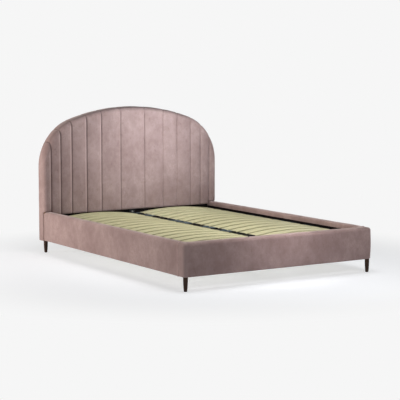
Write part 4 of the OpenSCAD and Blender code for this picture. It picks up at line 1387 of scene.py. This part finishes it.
def studio_floor():
    """A pale floor whose own glow keeps it near white, and which still takes soft shadows."""
    bare()
    bpy.ops.mesh.primitive_plane_add(size=120, location=(0, 0, -0.0005))
    floor = settle("studio_floor")
    r = Recipe("studio_floor")
    seen = r.node("ShaderNodeLightPath", out="Is Camera Ray")
    away = r.node("ShaderNodeVectorMath", {"operation": "LENGTH"}, {0: r.place}, out="Value")
    far = r.spread(away, FLOOR_NEAR, FLOOR_FAR)
    near_glow, far_glow = (
        r.node("ShaderNodeEmission", {}, {"Color": (1, 1, 1, 1), "Strength": seen * more + base})
        for more, base in ((0.41, 0.14), (0.355, 0.567)))
    r.set(Base_Color=rgb(FLOOR), Roughness=0.9, Specular_IOR_Level=0.0)
    near = r.node("ShaderNodeAddShader", {}, {0: near_glow, 1: Wire(r, r.shader.outputs[0])})
    mixed = r.node("ShaderNodeMixShader", {}, {0: far, 1: near, 2: far_glow})
    r.tree.links.new(mixed.socket, r.tree.nodes["Material Output"].inputs["Surface"])
    floor.data.materials.append(r.material)


def sky():
    """Even near-white behind the bed, and a dimmer sky that lights it."""
    world = bpy.data.worlds.new("studio")
    bpy.context.scene.world = world
    world.use_nodes = True
    tree = world.node_tree
    seen = tree.nodes.new("ShaderNodeLightPath")
    mix = tree.nodes.new("ShaderNodeMix")
    mix.data_type = "RGBA"
    mix.inputs[6].default_value = SKY
    mix.inputs[7].default_value = BACKDROP
    tree.links.new(seen.outputs["Is Camera Ray"], mix.inputs[0])
    tree.links.new(mix.outputs[2], tree.nodes["Background"].inputs["Color"])


def photo_camera():
    """A camera at the angle of the photograph."""
    view = bpy.data.cameras.new("photo_view")
    view.lens, view.sensor_width, view.clip_end = CAMERA_LENS, CAMERA_SENSOR, 200
    camera = bpy.data.objects.new("photo_view", view)
    bpy.context.scene.collection.objects.link(camera)
    camera.location = CAMERA_AT
    camera.rotation_euler = [math.radians(angle) for angle in CAMERA_TURN]
    bpy.context.scene.camera = camera


class BED_OT_stage(bpy.types.Operator):
    """Sets up the floor, the light and the camera"""
    bl_idname = "bed.stage"
    bl_label = "Studio"

    def execute(self, context):
        context.scene.view_settings.view_transform = "Standard"
        studio_floor()
        sky()
        for light in LIGHTS:
            softbox(*light)
        photo_camera()
        return {"FINISHED"}


STEPS = (BED_OT_headboard, BED_OT_rails, BED_OT_slats, BED_OT_holders, BED_OT_legs, BED_OT_fittings,
         BED_OT_cloths, BED_OT_stage)


class BED_PT_panel(bpy.types.Panel):
    """Lists the sizes, the colours and the steps of the bed"""
    bl_idname = "BED_PT_panel"
    bl_label = "Upholstered bed"
    bl_space_type = "VIEW_3D"
    bl_region_type = "UI"
    bl_category = "Bed"

    def draw(self, context):
        """Shows every setting and a button for each step."""
        for group in (context.scene.bed_sizes, context.scene.bed_colours):
            box = self.layout.box()
            for name in group.bl_rna.properties.keys():
                if name not in ("rna_type", "name"):
                    box.prop(group, name)
        for step in STEPS:
            self.layout.operator(step.bl_idname)


KINDS = (BedSizes, BedColours, *STEPS, BED_PT_panel)


def register():
    """Adds the settings, the operators and the panel."""
    for kind in KINDS:
        bpy.utils.register_class(kind)
    bpy.types.Scene.bed_sizes = bpy.props.PointerProperty(type=BedSizes)
    bpy.types.Scene.bed_colours = bpy.props.PointerProperty(type=BedColours)


def unregister():
    """Takes the settings, the operators and the panel out again."""
    del bpy.types.Scene.bed_colours
    del bpy.types.Scene.bed_sizes
    for kind in reversed(KINDS):
        bpy.utils.unregister_class(kind)


def main():
    """Makes every piece in order."""
    register()
    for step in STEPS:
        group, name = step.bl_idname.split(".")
        getattr(getattr(bpy.ops, group), name)()


if __name__ == "__main__":
    main()
